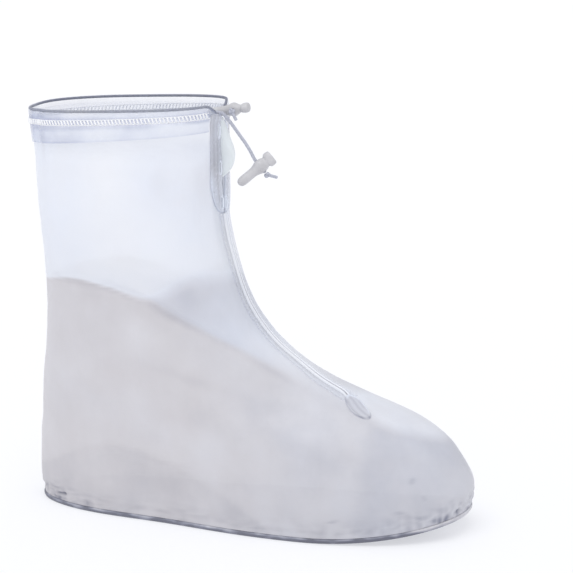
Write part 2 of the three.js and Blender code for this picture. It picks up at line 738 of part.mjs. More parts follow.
// The closed outline of a thin ribbon along an open line on a plane
function ribbon(line, wall) {
  const ways = line.map((_, i) => {
    const before = line[Math.max(0, i - 1)];
    const after = line[Math.min(line.length - 1, i + 1)];
    return after.clone().sub(before).normalize();
  });
  const offset = (i, side) => new THREE.Vector2(
    line[i].x - ways[i].y * side * wall / 2,
    line[i].y + ways[i].x * side * wall / 2,
  );
  const there = line.map((_, i) => offset(i, 1));
  const back = line.map((_, i) => offset(i, -1)).reverse();
  return [...there, ...back];
}

// The gusset film behind the slit, which bulges out between the strips near the rim. wide: half
// width of the bulge, share of its throat. high: share of its height.
const FIN_SHAPE = [
  { wide: 1.00, high: 0.40 },
  { wide: 0.80, high: 0.75 },
  { wide: 0.42, high: 0.95 },
];
function gusset() {
  const behind = WALL + GAP * 2 + GUSSET_WALL / 2;
  const bulge = through(BULGE, 'along', 'rise');
  const shapes = [];
  const rings = Array.from({ length: GUSSET_RINGS + 1 }, (_, i) => {
    const length = mix(GUSSET_START, GUSSET_LENGTH, (i / GUSSET_RINGS) ** GUSSET_CROWDING);
    const rise = bulge((length - GUSSET_START) / GUSSET_BULGE_LENGTH) * (GUSSET_BULGE + behind);
    const throat = Math.max(SLIT_NECK, slitHalf(length)) - GAP * 2 - GUSSET_WALL / 2;
    const clear = smooth((length - HEM_INNER_DEPTH) / (HEM_DEPTH_BACK - HEM_INNER_DEPTH));
    const edge = mix(HEM_END - GAP * 2, GUSSET_WIDTH / 2, clear);
    const fin = FIN_SHAPE.map(({ wide, high }) => [throat * wide, high]);
    const half = [[edge, 0], [throat + GAP, 0], ...fin];
    const left = half.map(([aside, high]) => new THREE.Vector2(-aside, high * rise - behind));
    const right = half.map(([aside, high]) => new THREE.Vector2(aside, high * rise - behind)).reverse();
    const outline = ribbon([...left, new THREE.Vector2(0, rise - behind), ...right], GUSSET_WALL);
    shapes.push(outline);
    return outline.map((p) => beside(length, p.x, p.y));
  });
  return loft(rings, shapes[shapes.length - 1]);
}

function rimPoint(turn, down, out) {
  const here = face(RIM_HEIGHT - down, turn);
  return here.point.clone().addScaledVector(here.out.clone().setZ(0).normalize(), out);
}

// The hem: a fold over the top of the wall, whose top is the channel of the cord. The angles
// are of the corners of the fold and of its channel, in degrees from level.
const FOLD_ANGLES = [-30, 10, 50, 90, 130, 170, 210];
const CHANNEL_ANGLES = [218, 178, 130, 90, 50, 2, -38];
const channelOut = -WALL / 2;
const channelDown = FOLD_RADIUS;
function hemShape(depth) {
  const around = (radius, degrees) => {
    const angle = THREE.MathUtils.degToRad(degrees);
    return [channelOut + radius * Math.cos(angle), channelDown - radius * Math.sin(angle)];
  };
  const outside = GAP + HEM_WALL;
  const inside = -WALL - GAP;
  return [
    [outside, depth], [outside, mix(depth, channelDown, 0.5)],
    ...FOLD_ANGLES.map((angle) => around(FOLD_RADIUS, angle)),
    [inside - HEM_WALL, HEM_INNER_DEPTH], [inside, HEM_INNER_DEPTH],
    ...CHANNEL_ANGLES.map((angle) => around(CHANNEL_RADIUS, angle)),
    [GAP, mix(depth, channelDown, 0.5)], [GAP, depth],
  ];
}
function hem() {
  const rings = hemTurns.map((turn, i) => {
    const ends = i < 2 || i > hemTurns.length - 3;
    const x = skin(RIM_HEIGHT, turn).x;
    const share = clamp01((x - RIM_BACK_X) / SHAFT_LENGTH);
    const depth = ends ? HEM_END_DEPTH : mix(HEM_DEPTH_BACK, HEM_DEPTH_FRONT, share);
    return hemShape(depth).map(([out, down]) => rimPoint(turn, down, out));
  });
  return loft(rings, hemShape(HEM_END_DEPTH).map(([x, y]) => new THREE.Vector2(x, y)));
}

// The mouths of the channel, where the cord comes out
const mouthPoint = (side) => rimPoint(side * mouthTurn, channelDown, channelOut);
const routePoints = (mouth, route) => route.map((step) => (
  new THREE.Vector3(mouth.x + step.ahead, mouth.y + step.aside, mouth.z + step.up)));

// A round ring of points about a place on a cord
function cordRing(point, way, above) {
  const right = new THREE.Vector3().crossVectors(way, above).normalize();
  const up = new THREE.Vector3().crossVectors(right, way).normalize();
  return Array.from({ length: CORD_SIDES }, (_, i) => {
    const angle = 2 * Math.PI * (i + 0.5) / CORD_SIDES;
    return point.clone()
      .addScaledVector(right, CORD_RADIUS * Math.cos(angle))
      .addScaledVector(up, CORD_RADIUS * Math.sin(angle));
  });
}

// The held cord, round the channel and on through the upper toggle to its knot
function heldCord() {
  const stub = routePoints(mouthPoint(1), STUB_ROUTE).reverse();
  const line = [...stub, ...hemTurns.map((turn) => rimPoint(turn, channelDown, channelOut))];
  const up = new THREE.Vector3(0, 0, 1);
  const rings = line.map((point, i) => {
    const before = line[Math.max(0, i - 1)];
    const after = line[Math.min(line.length - 1, i + 1)];
    return cordRing(point, after.clone().sub(before).normalize(), up);
  });
  const outline = rings[0].map((_, i) => {
    const angle = 2 * Math.PI * (i + 0.5) / CORD_SIDES;
    return new THREE.Vector2(Math.cos(angle), Math.sin(angle));
  });
  return loft(rings, outline);
}

// The end of a route: the last place on its cord, and the way that the cord goes there
function routeEnd(side, route) {
  const points = routePoints(mouthPoint(side), route);
  const last = points[points.length - 1];
  const way = last.clone().sub(points[points.length - 2]).normalize();
  return { last, way };
}

// The free cord, a round tube along its route
function freeCord() {
  const points = routePoints(mouthPoint(-1), CORD_ROUTE);
  const first = points[1].clone().sub(points[0]).normalize();
  points[0].addScaledVector(first, GAP);
  const path = new THREE.CatmullRomCurve3(points);
  const shape = new THREE.Shape(Array.from({ length: CORD_SIDES }, (_, i) => {
    const angle = 2 * Math.PI * i / CORD_SIDES;
    return new THREE.Vector2(CORD_RADIUS * Math.cos(angle), CORD_RADIUS * Math.sin(angle));
  }));
  return new THREE.ExtrudeGeometry(shape, { steps: CORD_STEPS, bevelEnabled: false, extrudePath: path });
}

// A toggle: a bar with a boss round its cross hole and an oval head, on the cord's end
function toggle(end, roughWay) {
  const half = TOGGLE_WIDTH / 2;
  const round = Array.from({ length: TOGGLE_SIDES }, (_, i) => {
    const angle = 2 * Math.PI * (i + 0.5) / TOGGLE_SIDES;
    return new THREE.Vector2(Math.cos(angle), Math.sin(angle));
  });
  const rings = TOGGLE_SHAPE.map((row) => round.map(({ x, y }) => (
    new THREE.Vector3(x * row.wide * half, row.along * TOGGLE_LENGTH, y * row.tall * half))));
  const clear = CORD_RADIUS + GAP;
  const hole = new THREE.CylinderGeometry(clear, clear, TOGGLE_WIDTH * 2, TOGGLE_SIDES);
  hole.rotateX(Math.PI / 2).translate(0, TOGGLE_HOLE_AT, 0);
  const drilled = cut(loft(rings, round), [hole]);
  const barWay = roughWay.clone().addScaledVector(end.way, -roughWay.dot(end.way)).normalize();
  const across = new THREE.Vector3().crossVectors(barWay, end.way);
  const foot = end.last.clone().addScaledVector(end.way, -half).addScaledVector(barWay, -TOGGLE_HOLE_AT);
  return drilled.applyMatrix4(new THREE.Matrix4().makeBasis(across, barWay, end.way).setPosition(foot));
}

// A knot with its short tail, on the far side of a toggle
function knot(end, tailWay) {
  const radius = KNOT_DIAMETER / 2;
  const centre = end.last.clone().addScaledVector(end.way, GAP + radius * KNOT_SQUASH);
  const ball = new THREE.SphereGeometry(radius, TOGGLE_SIDES, CORD_SIDES);
  ball.scale(1, KNOT_SQUASH, 1);
  const turnUp = new THREE.Quaternion().setFromUnitVectors(new THREE.Vector3(0, 1, 0), end.way);
  ball.applyQuaternion(turnUp).translate(centre.x, centre.y, centre.z);
  const way = tailWay.clone().normalize();
  const tail = new THREE.CylinderGeometry(CORD_RADIUS, CORD_RADIUS, KNOT_TAIL, CORD_SIDES);
  tail.translate(0, KNOT_TAIL / 2, 0);
  tail.applyQuaternion(new THREE.Quaternion().setFromUnitVectors(new THREE.Vector3(0, 1, 0), way));
  tail.translate(centre.x, centre.y, centre.z);
  return fromSolid(toSolid(ball).add(toSolid(tail)));
}

// The colours and finishes
const film = { color: 0xdde2ec, roughness: 0.25, metalness: 0, transparent: true, opacity: 0.6 };
const thickFilm = { color: 0xc9ccd8, roughness: 0.35, metalness: 0, transparent: true, opacity: 0.8 };
const moulded = { color: 0xd2cfd2, roughness: 0.45, metalness: 0 };
const cordFinish = { color: 0xb4b4bc, roughness: 0.8, metalness: 0 };

const model = new THREE.Group();
function add(name, geometry, finish) {
  const mesh = new THREE.Mesh(geometry, new THREE.MeshStandardMaterial(finish));
  mesh.name = name;
  model.add(mesh);
}

const slots = { outer: slotCutters(-1), inner: slotCutters(1) };
add('cover_body', cut(filmWall(), [slitCutter(), ...slots.outer, ...slots.inner]), film);
add('sole', solePlate(), thickFilm);
add('top_hem', hem(), film);
add('strip_outer', strip(-1, slots.outer), thickFilm);
add('strip_inner', strip(1, slots.inner), thickFilm);
add('binding_outer', binding(-1), film);
add('binding_inner', binding(1), film);
add('end_patch', endPatch(), film);
add('gusset', gusset(), film);
add('hem_cord', heldCord(), cordFinish);
const upperEnd = routeEnd(1, STUB_ROUTE);
const lowerEnd = routeEnd(-1, CORD_ROUTE);
add('toggle_upper', toggle(upperEnd, UPPER_BAR_WAY), moulded);
add('knot_upper', knot(upperEnd, new THREE.Vector3(0.5, -0.1, -0.85)), cordFinish);
add('draw_cord', freeCord(), cordFinish);
add('toggle_lower', toggle(lowerEnd, LOWER_BAR_WAY), moulded);
add('knot_lower', knot(lowerEnd, new THREE.Vector3(0.9, 0.3, -0.25)), cordFinish);

// The origin is on the floor, under the middle of the boot without its free cord
const hanging = ['draw_cord', 'toggle_lower', 'knot_lower'];
const extent = new THREE.Box3();
for (const mesh of model.children) {
  if (!hanging.includes(mesh.name)) extent.expandByObject(mesh);
}
const middle = extent.getCenter(new THREE.Vector3());
model.position.set(-middle.x, -middle.y, 0);

export default model;
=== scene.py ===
import math

import bmesh
import bpy
import numpy as np
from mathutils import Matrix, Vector, noise
from mathutils.geometry import delaunay_2d_cdt


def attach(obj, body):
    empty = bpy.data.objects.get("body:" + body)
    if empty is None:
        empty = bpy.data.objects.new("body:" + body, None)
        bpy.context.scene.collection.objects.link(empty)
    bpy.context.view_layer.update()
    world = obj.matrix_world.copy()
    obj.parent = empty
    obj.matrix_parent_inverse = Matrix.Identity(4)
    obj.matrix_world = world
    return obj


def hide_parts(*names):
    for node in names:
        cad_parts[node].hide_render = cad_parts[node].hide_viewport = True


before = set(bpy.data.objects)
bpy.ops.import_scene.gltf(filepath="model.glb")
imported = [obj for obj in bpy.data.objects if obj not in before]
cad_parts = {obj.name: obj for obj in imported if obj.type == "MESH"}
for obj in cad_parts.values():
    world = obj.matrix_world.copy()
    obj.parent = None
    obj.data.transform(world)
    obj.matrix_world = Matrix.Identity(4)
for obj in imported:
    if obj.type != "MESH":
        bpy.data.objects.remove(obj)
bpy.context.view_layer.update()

# The film boot is drawn again from the sections of its source, in millimetres, and every piece
# goes from there into the frame of the model, in metres.
MM = 0.001
ROW_SHIFT = np.array([1.483, 0.277, 0.0])

# The camera at the photograph's angle
CAMERA_TURN = 18.0
CAMERA_RISE = 12.3
CAMERA_DISTANCE = 1.3
CAMERA_LENS = 126.1
CAMERA_SENSOR = 36.0
CAMERA_TARGET = Vector((0.02588, 0.00028, 0.154))


def way_to(turn, rise):
    """The way from the object to a place round it and above it, by angles in degrees."""
    turn = math.radians(turn)
    rise = math.radians(rise)
    return Vector((math.sin(turn) * math.cos(rise), -math.cos(turn) * math.cos(rise), math.sin(rise)))


camera_back = way_to(CAMERA_TURN, CAMERA_RISE)
camera_data = bpy.data.cameras.new("camera")
camera_data.lens = CAMERA_LENS
camera_data.sensor_width = CAMERA_SENSOR
camera = bpy.data.objects.new("camera", camera_data)
camera.location = CAMERA_TARGET + camera_back * CAMERA_DISTANCE
camera.rotation_euler = (-camera_back).to_track_quat("-Z", "Y").to_euler()
bpy.context.collection.objects.link(camera)
bpy.context.scene.camera = camera
bpy.context.scene.view_settings.view_transform = "Standard"

# The free end of the cord: where it leaves the hem's channel, and its route from there
CORD_DIAMETER = 2.2
GAP = 0.3
OUTER_MOUTH = np.array([-20.60, -9.43, 267.00])
INNER_MOUTH = np.array([-20.60, 9.43, 269.11])
CORD_ROUTE = [
    (0.0, 0.0, 0.0), (0.2, 1.0, -0.3), (1.1, 2.1, -0.5), (2.6, 2.9, -0.7), (4.4, 3.2, -1.4),
    (6.0, 3.4, -2.9), (8.6, 3.5, -6.0), (12.2, 3.7, -10.6), (15.4, 4.0, -15.0), (18.7, 4.3, -19.4),
    (22.0, 4.6, -24.5), (25.3, 4.8, -30.4), (28.7, 5.0, -34.3), (32.1, 5.2, -38.2),
]
STUB_ROUTE = [
    (0.2, -1.0, -0.1), (1.0, -2.0, -0.2), (2.6, -2.5, -0.4), (4.6, -2.2, -0.7), (6.4, -1.6, -0.9),
    (8.0, -1.7, -1.1), (8.9, -2.8, -1.2), (9.2, -4.0, -1.2), (10.1, -13.8, -1.5),
]
LOWER_BAR_WAY = np.array([0.693, 0.368, 0.620])
UPPER_BAR_WAY = np.array([0.98, 0.06, 0.165])
LOWER_TAIL_WAY = np.array([0.9, 0.3, -0.25])
UPPER_TAIL_WAY = np.array([0.5, -0.1, -0.85])


def unit(vector):
    return vector / np.linalg.norm(vector, axis=-1, keepdims=True)


def smooth(value):
    t = np.clip(value, 0, 1)
    return t * t * (3 - 2 * t)


def mix(a, b, share):
    return a + (b - a) * share


def bell(value, middle, width):
    """A soft hump: 1 at its middle, fading over the width to each side."""
    return np.exp(-((value - middle) / width) ** 2)


def step(distance, soft):
    """A soft step from 0 to 1 over an edge, half way up where the distance is nought."""
    return smooth(distance / soft + 0.5)


def leaned(ahead, above, degrees):
    """How far a place is along a leaning line, and how far across it."""
    turn = math.radians(degrees)
    along = ahead * math.cos(turn) + above * math.sin(turn)
    return along, above * math.cos(turn) - ahead * math.sin(turn)


def level_way(out):
    return unit(out * np.array([1.0, 1.0, 0.0]))


def circle(count):
    return 2 * math.pi * np.arange(count) / count


def lengths_along(points):
    steps = np.linalg.norm(np.diff(points, axis=0), axis=1)
    return np.concatenate([[0], np.cumsum(steps)])


def through(places, values):
    """A smooth curve through a column of values at rising places."""
    xs = np.array(places, float)
    ys = np.array(values, float)
    index = np.arange(len(xs))
    before = np.maximum(index - 1, 0)
    after = np.minimum(index + 1, len(xs) - 1)
    slopes = (ys[after] - ys[before]) / (xs[after] - xs[before])

    def curve(value):
        value = np.asarray(value, float)
        i = np.clip(np.searchsorted(xs, value, side="left") - 1, 0, len(xs) - 2)
        span = xs[i + 1] - xs[i]
        t = np.clip((value - xs[i]) / span, 0, 1)
        low = (1 + 2 * t) * (1 - t) ** 2 * ys[i] + t * (1 - t) ** 2 * span * slopes[i]
        high = t * t * (3 - 2 * t) * ys[i + 1] - t * t * (1 - t) * span * slopes[i + 1]
        return low + high

    return curve


def through_rows(rows, column=1):
    """A smooth curve through one column of a table, by the table's first column."""
    return through([row[0] for row in rows], [row[column] for row in rows])


def fine_line(points, count):
    """A smooth line through given points, at even shares of its length."""
    points = np.array(points, float)
    places = lengths_along(points)
    at = np.linspace(0, places[-1], count)
    return np.stack([through(places, column)(at) for column in points.T], axis=1)


# Driving dimensions, as in the source
FOOT_LENGTH = 300.0
FOOT_WIDTH = 112.0
FOOT_RISE = 112.0
RIM_HEIGHT = 266.5
RIM_RISE = 6.0
SHAFT_LENGTH = 132.0
SHAFT_WIDTH = 84.0
RIM_OVERHANG = 1.5
TOE_SPRING = 13.0
FLAT_LENGTH = 200.0
SPRING_FADE = 67.0
DENT_FADE = 22.0
WALL = 1.5
SOLE_THICKNESS = 3.0
SEAT = 0.45
HEM_WALL = 1.0
HEM_DEPTH_BACK = 23.0
HEM_DEPTH_FRONT = 16.0
HEM_INNER_DEPTH = 10.0
HEM_END = 9.5
HEM_END_DEPTH = 6.5
RIM_DROOP = 5.5
INNER_DROOP = 1.5
DROOP_WIDTH = 20.0
DROOP_DEPTH = 30.0
SLIT_END = 232.0
SLIT_OPEN = 4.0
SLIT_NECK = 2.7
SLIT_SHUT = 0.7
SLIT_CLOSING = 12.0
STRIP_TOP = 10.5
STRIP_LENGTH = 58.0
STRIP_EDGE = 17.3
STRIP_ROUND = 22.0
SLOT_COUNT = 3
SLOT_PITCH = 23.5
SLOT_FIRST = 15.0
SLOT_LENGTH = 7.0
SLOT_WIDTH = 2.6
SLOT_INSET = 2.6
BEAD_WIDTH = 2.5
BEAD_HEIGHT = 2.1
BAND_WIDTH = 4.4
PATCH_LENGTH = 25.0
PATCH_WIDTH = 12.5
PATCH_WALL = 1.6
GUSSET_WALL = 1.0
GUSSET_WIDTH = 22.0
GUSSET_LENGTH = 170.0
GUSSET_START = 6.8
GUSSET_BULGE = 9.0
GUSSET_BULGE_LENGTH = 41.0
TOGGLE_LENGTH = 28.0
TOGGLE_WIDTH = 9.8
TOGGLE_HOLE_AT = 18.0
KNOT_DIAMETER = 4.6
KNOT_TAIL = 6.5
KNOT_SQUASH = 0.8

HEEL_X = -FOOT_LENGTH / 2
TOE_X = FOOT_LENGTH / 2
RIM_BACK_X = HEEL_X - RIM_OVERHANG
SHAFT_FRONT_X = RIM_BACK_X + SHAFT_LENGTH
SPRING_X = HEEL_X + FLAT_LENGTH
FOOT_Z = SOLE_THICKNESS + GAP
CORD_RADIUS = CORD_DIAMETER / 2
CHANNEL_RADIUS = CORD_RADIUS + GAP
FOLD_RADIUS = CHANNEL_RADIUS + HEM_WALL
WALL_TOP = RIM_HEIGHT - FOLD_RADIUS - CHANNEL_RADIUS - GAP
STRIP_END = STRIP_TOP + STRIP_LENGTH
SLOTS = [SLOT_FIRST + i * SLOT_PITCH for i in range(SLOT_COUNT)]

# Level sections: rise, inset, reach, widest, near, far, tip, nose, heel, as in the source
FOOT_SECTIONS = [
    (0.00, 0.008, 0.982, 0.62, 0.945, 0.945, 0.05, 2.30, 2.3),
    (0.06, 0.002, 0.996, 0.62, 0.980, 0.980, 0.05, 2.15, 2.3),
    (0.13, 0.000, 1.000, 0.62, 1.000, 1.000, 0.05, 2.10, 2.3),
    (0.22, 0.000, 0.992, 0.62, 1.000, 1.000, 0.05, 2.00, 2.3),
    (0.36, 0.001, 0.955, 0.62, 0.975, 0.975, 0.05, 1.90, 2.3),
    (0.49, 0.004, 0.905, 0.61, 0.920, 0.930, 0.05, 1.85, 2.3),
    (0.61, 0.007, 0.815, 0.56, 0.860, 0.870, 0.05, 1.85, 2.4),
    (0.72, 0.011, 0.635, 0.48, 0.820, 0.830, 0.04, 2.05, 2.5),
    (0.83, 0.015, 0.445, 0.45, 0.800, 0.800, 0.02, 2.20, 2.6),
    (0.94, 0.018, 0.318, 0.45, 0.785, 0.785, 0.01, 2.35, 2.6),
]
SHAFT_SECTIONS = [
    (0.05, 0.021, 0.208, 0.46, 1.030, 1.030, 0.0, 2.45, 2.6),
    (0.19, 0.022, 0.112, 0.50, 1.010, 1.010, 0.0, 2.50, 2.6),
    (0.37, 0.019, 0.050, 0.50, 1.000, 1.000, 0.0, 2.60, 2.6),
    (0.56, 0.011, 0.009, 0.50, 0.995, 0.995, 0.0, 2.70, 2.6),
    (0.79, 0.003, 0.001, 0.50, 1.000, 1.000, 0.0, 2.80, 2.6),
    (1.00, -0.005, 0.000, 0.50, 1.005, 1.005, 0.0, 2.80, 2.6),
]
SLIT_LINE = [
    (0.62, 0.190), (0.68, 0.170), (0.73, 0.140), (0.78, 0.085), (0.86, 0.058),
    (0.95, 0.035), (1.15, 0.027), (1.70, 0.020), (1.90, 0.000),
]

# Dents of the film: side, along, up, reach, tall, turn in degrees, depth, as in the source
DENTS = [
    (-1, 0.33, 0.06, 0.17, 0.15, 0, 0.060),
    (1, 0.38, 0.07, 0.18, 0.15, 0, 0.090),
    (-1, 0.17, 0.42, 0.10, 0.10, 20, 0.022),
    (1, 0.17, 0.42, 0.10, 0.10, 20, 0.022),
    (-1, 0.40, 0.43, 0.13, 0.03, -38, 0.014),
    (-1, 0.52, 0.30, 0.12, 0.03, -34, 0.012),
    (1, 0.44, 0.42, 0.13, 0.03, -38, 0.014),
    (-1, 0.05, 0.90, 0.014, 0.20, 0, 0.020),
]


def real_sections(rows, low, high, half_width):
    """The sections of a table in millimetres, between two heights."""
    for rise, inset, reach, widest, near, far, tip, nose, heel in rows:
        back = HEEL_X + inset * FOOT_LENGTH
        front = mix(SHAFT_FRONT_X, TOE_X, reach)
        widths = (near * half_width, far * half_width)
        middle = mix(back, front, widest)
        yield (mix(low, high, rise), back, front, middle, *widths, tip * FOOT_WIDTH, nose, heel)


sections = [
    *real_sections(FOOT_SECTIONS, FOOT_Z, FOOT_RISE, FOOT_WIDTH / 2),
    *real_sections(SHAFT_SECTIONS, FOOT_RISE, RIM_HEIGHT, SHAFT_WIDTH / 2),
]
columns = np.array(sections).T
curves = [through(columns[0], column) for column in columns[1:]]
slit_lean = through_rows(SLIT_LINE)


def spring(x, z):
    ahead = np.maximum(0, (x - SPRING_X) / (TOE_X - SPRING_X))
    return TOE_SPRING * ahead ** 2 * np.clip(1 - (z - FOOT_Z) / SPRING_FADE, 0, 1)


def rim_shift(x, y, z):
    share = np.clip((z - FOOT_RISE) / (RIM_HEIGHT - FOOT_RISE), 0, 1)
    climb = RIM_RISE * share ** 2 * np.clip((x - RIM_BACK_X) / SHAFT_LENGTH, 0, 1)
    front = smooth((x - (SHAFT_FRONT_X - DROOP_WIDTH)) / DROOP_WIDTH)
    drop = mix(RIM_DROOP, INNER_DROOP, step(y, 2 * SLIT_OPEN))
    droop = smooth(1 - np.abs(y) / DROOP_WIDTH) * smooth(1 - (RIM_HEIGHT - z) / DROOP_DEPTH)
    return climb - drop * front * droop


def dent_depth(x, y, z):
    depth = 0
    for side, along_at, up_at, reach, tall, lean, deep in DENTS:
        ahead = x - (HEEL_X + along_at * FOOT_LENGTH)
        along, across = leaned(ahead, z - up_at * RIM_HEIGHT, lean)
        along = along / (reach * FOOT_LENGTH)
        across = across / (tall * RIM_HEIGHT)
        fade = smooth(side * y / DENT_FADE)
        depth = depth + deep * FOOT_WIDTH * fade * np.exp(-along ** 2 - across ** 2)
    return depth


# How far the film's back is drawn in, by height: it bellies less than the solid
BACK_PULL = [
    (3, 0), (80, 0), (96, 1.1), (112, 1.9), (144, 2.7), (176, 3.0), (208, 2.4), (255, 2.4), (267, 1.8),
]
PULL_START = -100
PULL_FADE = 40
back_pull = through_rows(BACK_PULL)


def skin(z, turn):
    """A point of the film's outer face. turn is 0 at the front and below nought on the outer side."""
    z, turn = np.broadcast_arrays(np.asarray(z, float), np.asarray(turn, float))
    back, front, middle, near, far, tip, nose, heel = [curve(z) for curve in curves]
    ahead = np.cos(turn)
    aside = np.sin(turn)
    power = mix(heel, nose, smooth(0.5 + ahead))
    size = (np.abs(ahead) ** power + np.abs(aside) ** power) ** (-1 / power)
    length = np.where(ahead > 0, front - middle, middle - back)
    width = np.where(aside < 0, near, far)
    x = middle + length * size * ahead
    x = x + back_pull(z) * np.clip((PULL_START - x) / PULL_FADE, 0, 1)
    y = width * size * aside + tip * np.maximum(0, size * ahead) ** 2
    flat_y = y * (1 - dent_depth(x, y, z) / np.maximum(width, 1))
    return np.stack([x, flat_y, z + spring(x, z) + rim_shift(x, y, z)], axis=-1)


TINY_RISE = 0.05
TINY_TURN = 0.001


def face(z, turn):
    """The film's outer face at a spot: its point, its two tangents and its outward normal."""
    up = (skin(z + TINY_RISE, turn) - skin(z - TINY_RISE, turn)) / (2 * TINY_RISE)
    around = (skin(z, turn + TINY_TURN) - skin(z, turn - TINY_TURN)) / (2 * TINY_TURN)
    return skin(z, turn), up, around, unit(np.cross(around, up))


WALK_STEP = 1.5


def walk(z, turn, way, distance):
    """Walks over the film from spots, each along its way, and gives the spots it comes to."""
    distance = np.asarray(distance, float)
    steps = max(1, math.ceil(np.max(np.abs(distance)) / WALK_STEP))
    for _ in range(steps):
        _, up, around, out = face(z, turn)
        flat = unit(way - out * np.sum(way * out, axis=-1, keepdims=True))
        move = flat * (distance / steps)[..., None]
        up_up, up_around, around_around, move_up, move_around = [
            np.sum(one * other, axis=-1)
            for one, other in ((up, up), (up, around), (around, around), (move, up), (move, around))
        ]
        area = up_up * around_around - up_around * up_around
        z = z + (move_up * around_around - move_around * up_around) / area
        turn = turn + (move_around * up_up - move_up * up_around) / area
    return z, turn


HALVINGS = 40


def slit_turn(z):
    """Where round the film the slit's line crosses a height."""
    lean = -slit_lean(z / FOOT_RISE) * FOOT_WIDTH
    low = np.full_like(z, -math.pi / 2)
    high = np.full_like(z, math.pi / 4)
    for _ in range(HALVINGS):
        turn = (low + high) / 2
        short = skin(z, turn)[..., 1] < lean
        low = np.where(short, turn, low)
        high = np.where(short, high, turn)
    return (low + high) / 2


SLIT_LOW = FOOT_RISE * SLIT_LINE[0][0]
SLIT_STEP = 1.0
slit_z = np.arange(RIM_HEIGHT, SLIT_LOW, -SLIT_STEP)
slit_turns = slit_turn(slit_z)
slit_points = skin(slit_z, slit_turns)
slit_lengths = lengths_along(slit_points)


def station(length):
    """A station of the slit: its spot, and the ways down along it, out and to the inner side."""
    length = np.asarray(length, float)
    z = np.interp(length, slit_lengths, slit_z)
    turn = np.interp(length, slit_lengths, slit_turns)
    i = np.clip(np.searchsorted(slit_lengths, length) - 1, 0, len(slit_z) - 2)
    down = unit(slit_points[i + 1] - slit_points[i])
    out = face(z, turn)[3]
    return z, turn, down, out, unit(np.cross(out, down))


def beside(length, aside, lift):
    """Points beside the slit: aside over the film to the inner side, and lifted off it."""
    length, aside, lift = np.broadcast_arrays(*[np.asarray(v, float) for v in (length, aside, lift)])
    z, turn, _, _, side = station(length)
    z, turn = walk(z, turn, side, aside)
    point, _, _, out = face(z, turn)
    return point + out * lift[..., None]


def slit_half(length):
    """How wide half the slit is at a length down from the rim."""
    bulge_end = GUSSET_START + GUSSET_BULGE_LENGTH
    narrow = mix(SLIT_OPEN, SLIT_NECK, smooth((length - bulge_end / 2) / SLIT_CLOSING))
    return mix(narrow, SLIT_SHUT, smooth((length - bulge_end) / SLIT_CLOSING))


def rim_point(turn, down, out):
    """Points of the rim, by how far down and how far out from the film's outer face they are."""
    point, _, _, normal = face(RIM_HEIGHT - np.asarray(down, float), turn)
    return point + level_way(normal) * np.asarray(out, float)[..., None]


def new_object(name, points, faces):
    """A mesh object from points in millimetres of the source's frame."""
    mesh = bpy.data.meshes.new(name)
    rows = (np.asarray(points, float).reshape(-1, 3) + ROW_SHIFT) * MM
    mesh.from_pydata(rows.tolist(), [], [tuple(int(i) for i in f) for f in faces])
    mesh.validate()
    return shaded_object(name, mesh)


def shaded_object(name, mesh):
    mesh.polygons.foreach_set("use_smooth", [True] * len(mesh.polygons))
    obj = bpy.data.objects.new(name, mesh)
    bpy.context.collection.objects.link(obj)
    return obj


def fix_normals(obj, merge=0.0):
    mesh = bmesh.new()
    mesh.from_mesh(obj.data)
    if merge > 0:
        bmesh.ops.remove_doubles(mesh, verts=mesh.verts, dist=merge * MM)
    bmesh.ops.recalc_face_normals(mesh, faces=mesh.faces)
    mesh.to_mesh(obj.data)
    mesh.free()


def film_piece(name, points, faces, tone, clear, warm=0.0, merge=0.0):
    """A piece of film, with the values for each of its points that its material reads."""
    obj = new_object(name, points, faces)
    for value, amounts in (("tone", tone), ("clear", clear), ("warm", warm)):
        layer = obj.data.attributes.new(value, "FLOAT", "POINT")
        layer.data.foreach_set("value", np.resize(amounts, len(obj.data.vertices)))
    fix_normals(obj, merge)
    return obj


def joined(name, objects):
    """One object of several, with their shapes kept."""
    mesh = bmesh.new()
    for obj in objects:
        mesh.from_mesh(obj.data)
    data = bpy.data.meshes.new(name)
    mesh.to_mesh(data)
    mesh.free()
    for obj in objects:
        bpy.data.objects.remove(obj)
    return shaded_object(name, data)


def grid_faces(rows, cols, wrap=False, start=0, turned=False):
    faces = []
    for i in range(rows - 1):
        for j in range(cols if wrap else cols - 1):
            k = (j + 1) % cols
            quad = (i * cols + j, i * cols + k, (i + 1) * cols + k, (i + 1) * cols + j)
            quad = tuple(start + q for q in quad)
            faces.append(quad[::-1] if turned else quad)
    return faces


def closed(rings, ends):
    """Points and faces of a surface through rings, closed at each end by a fan to a point."""
    sides = len(rings[0])
    faces = grid_faces(len(rings), sides, wrap=True)
    first = len(rings) * sides
    last = first - sides
    for j in range(sides):
        k = (j + 1) % sides
        faces.append((k, j, first))
        faces.append((last + j, last + k, first + 1))
    return np.concatenate([*rings, ends]), faces


STRANDS = 8
LAY_LENGTH = 2.6
CAP_BULGE = 0.35
STEEP = 0.9


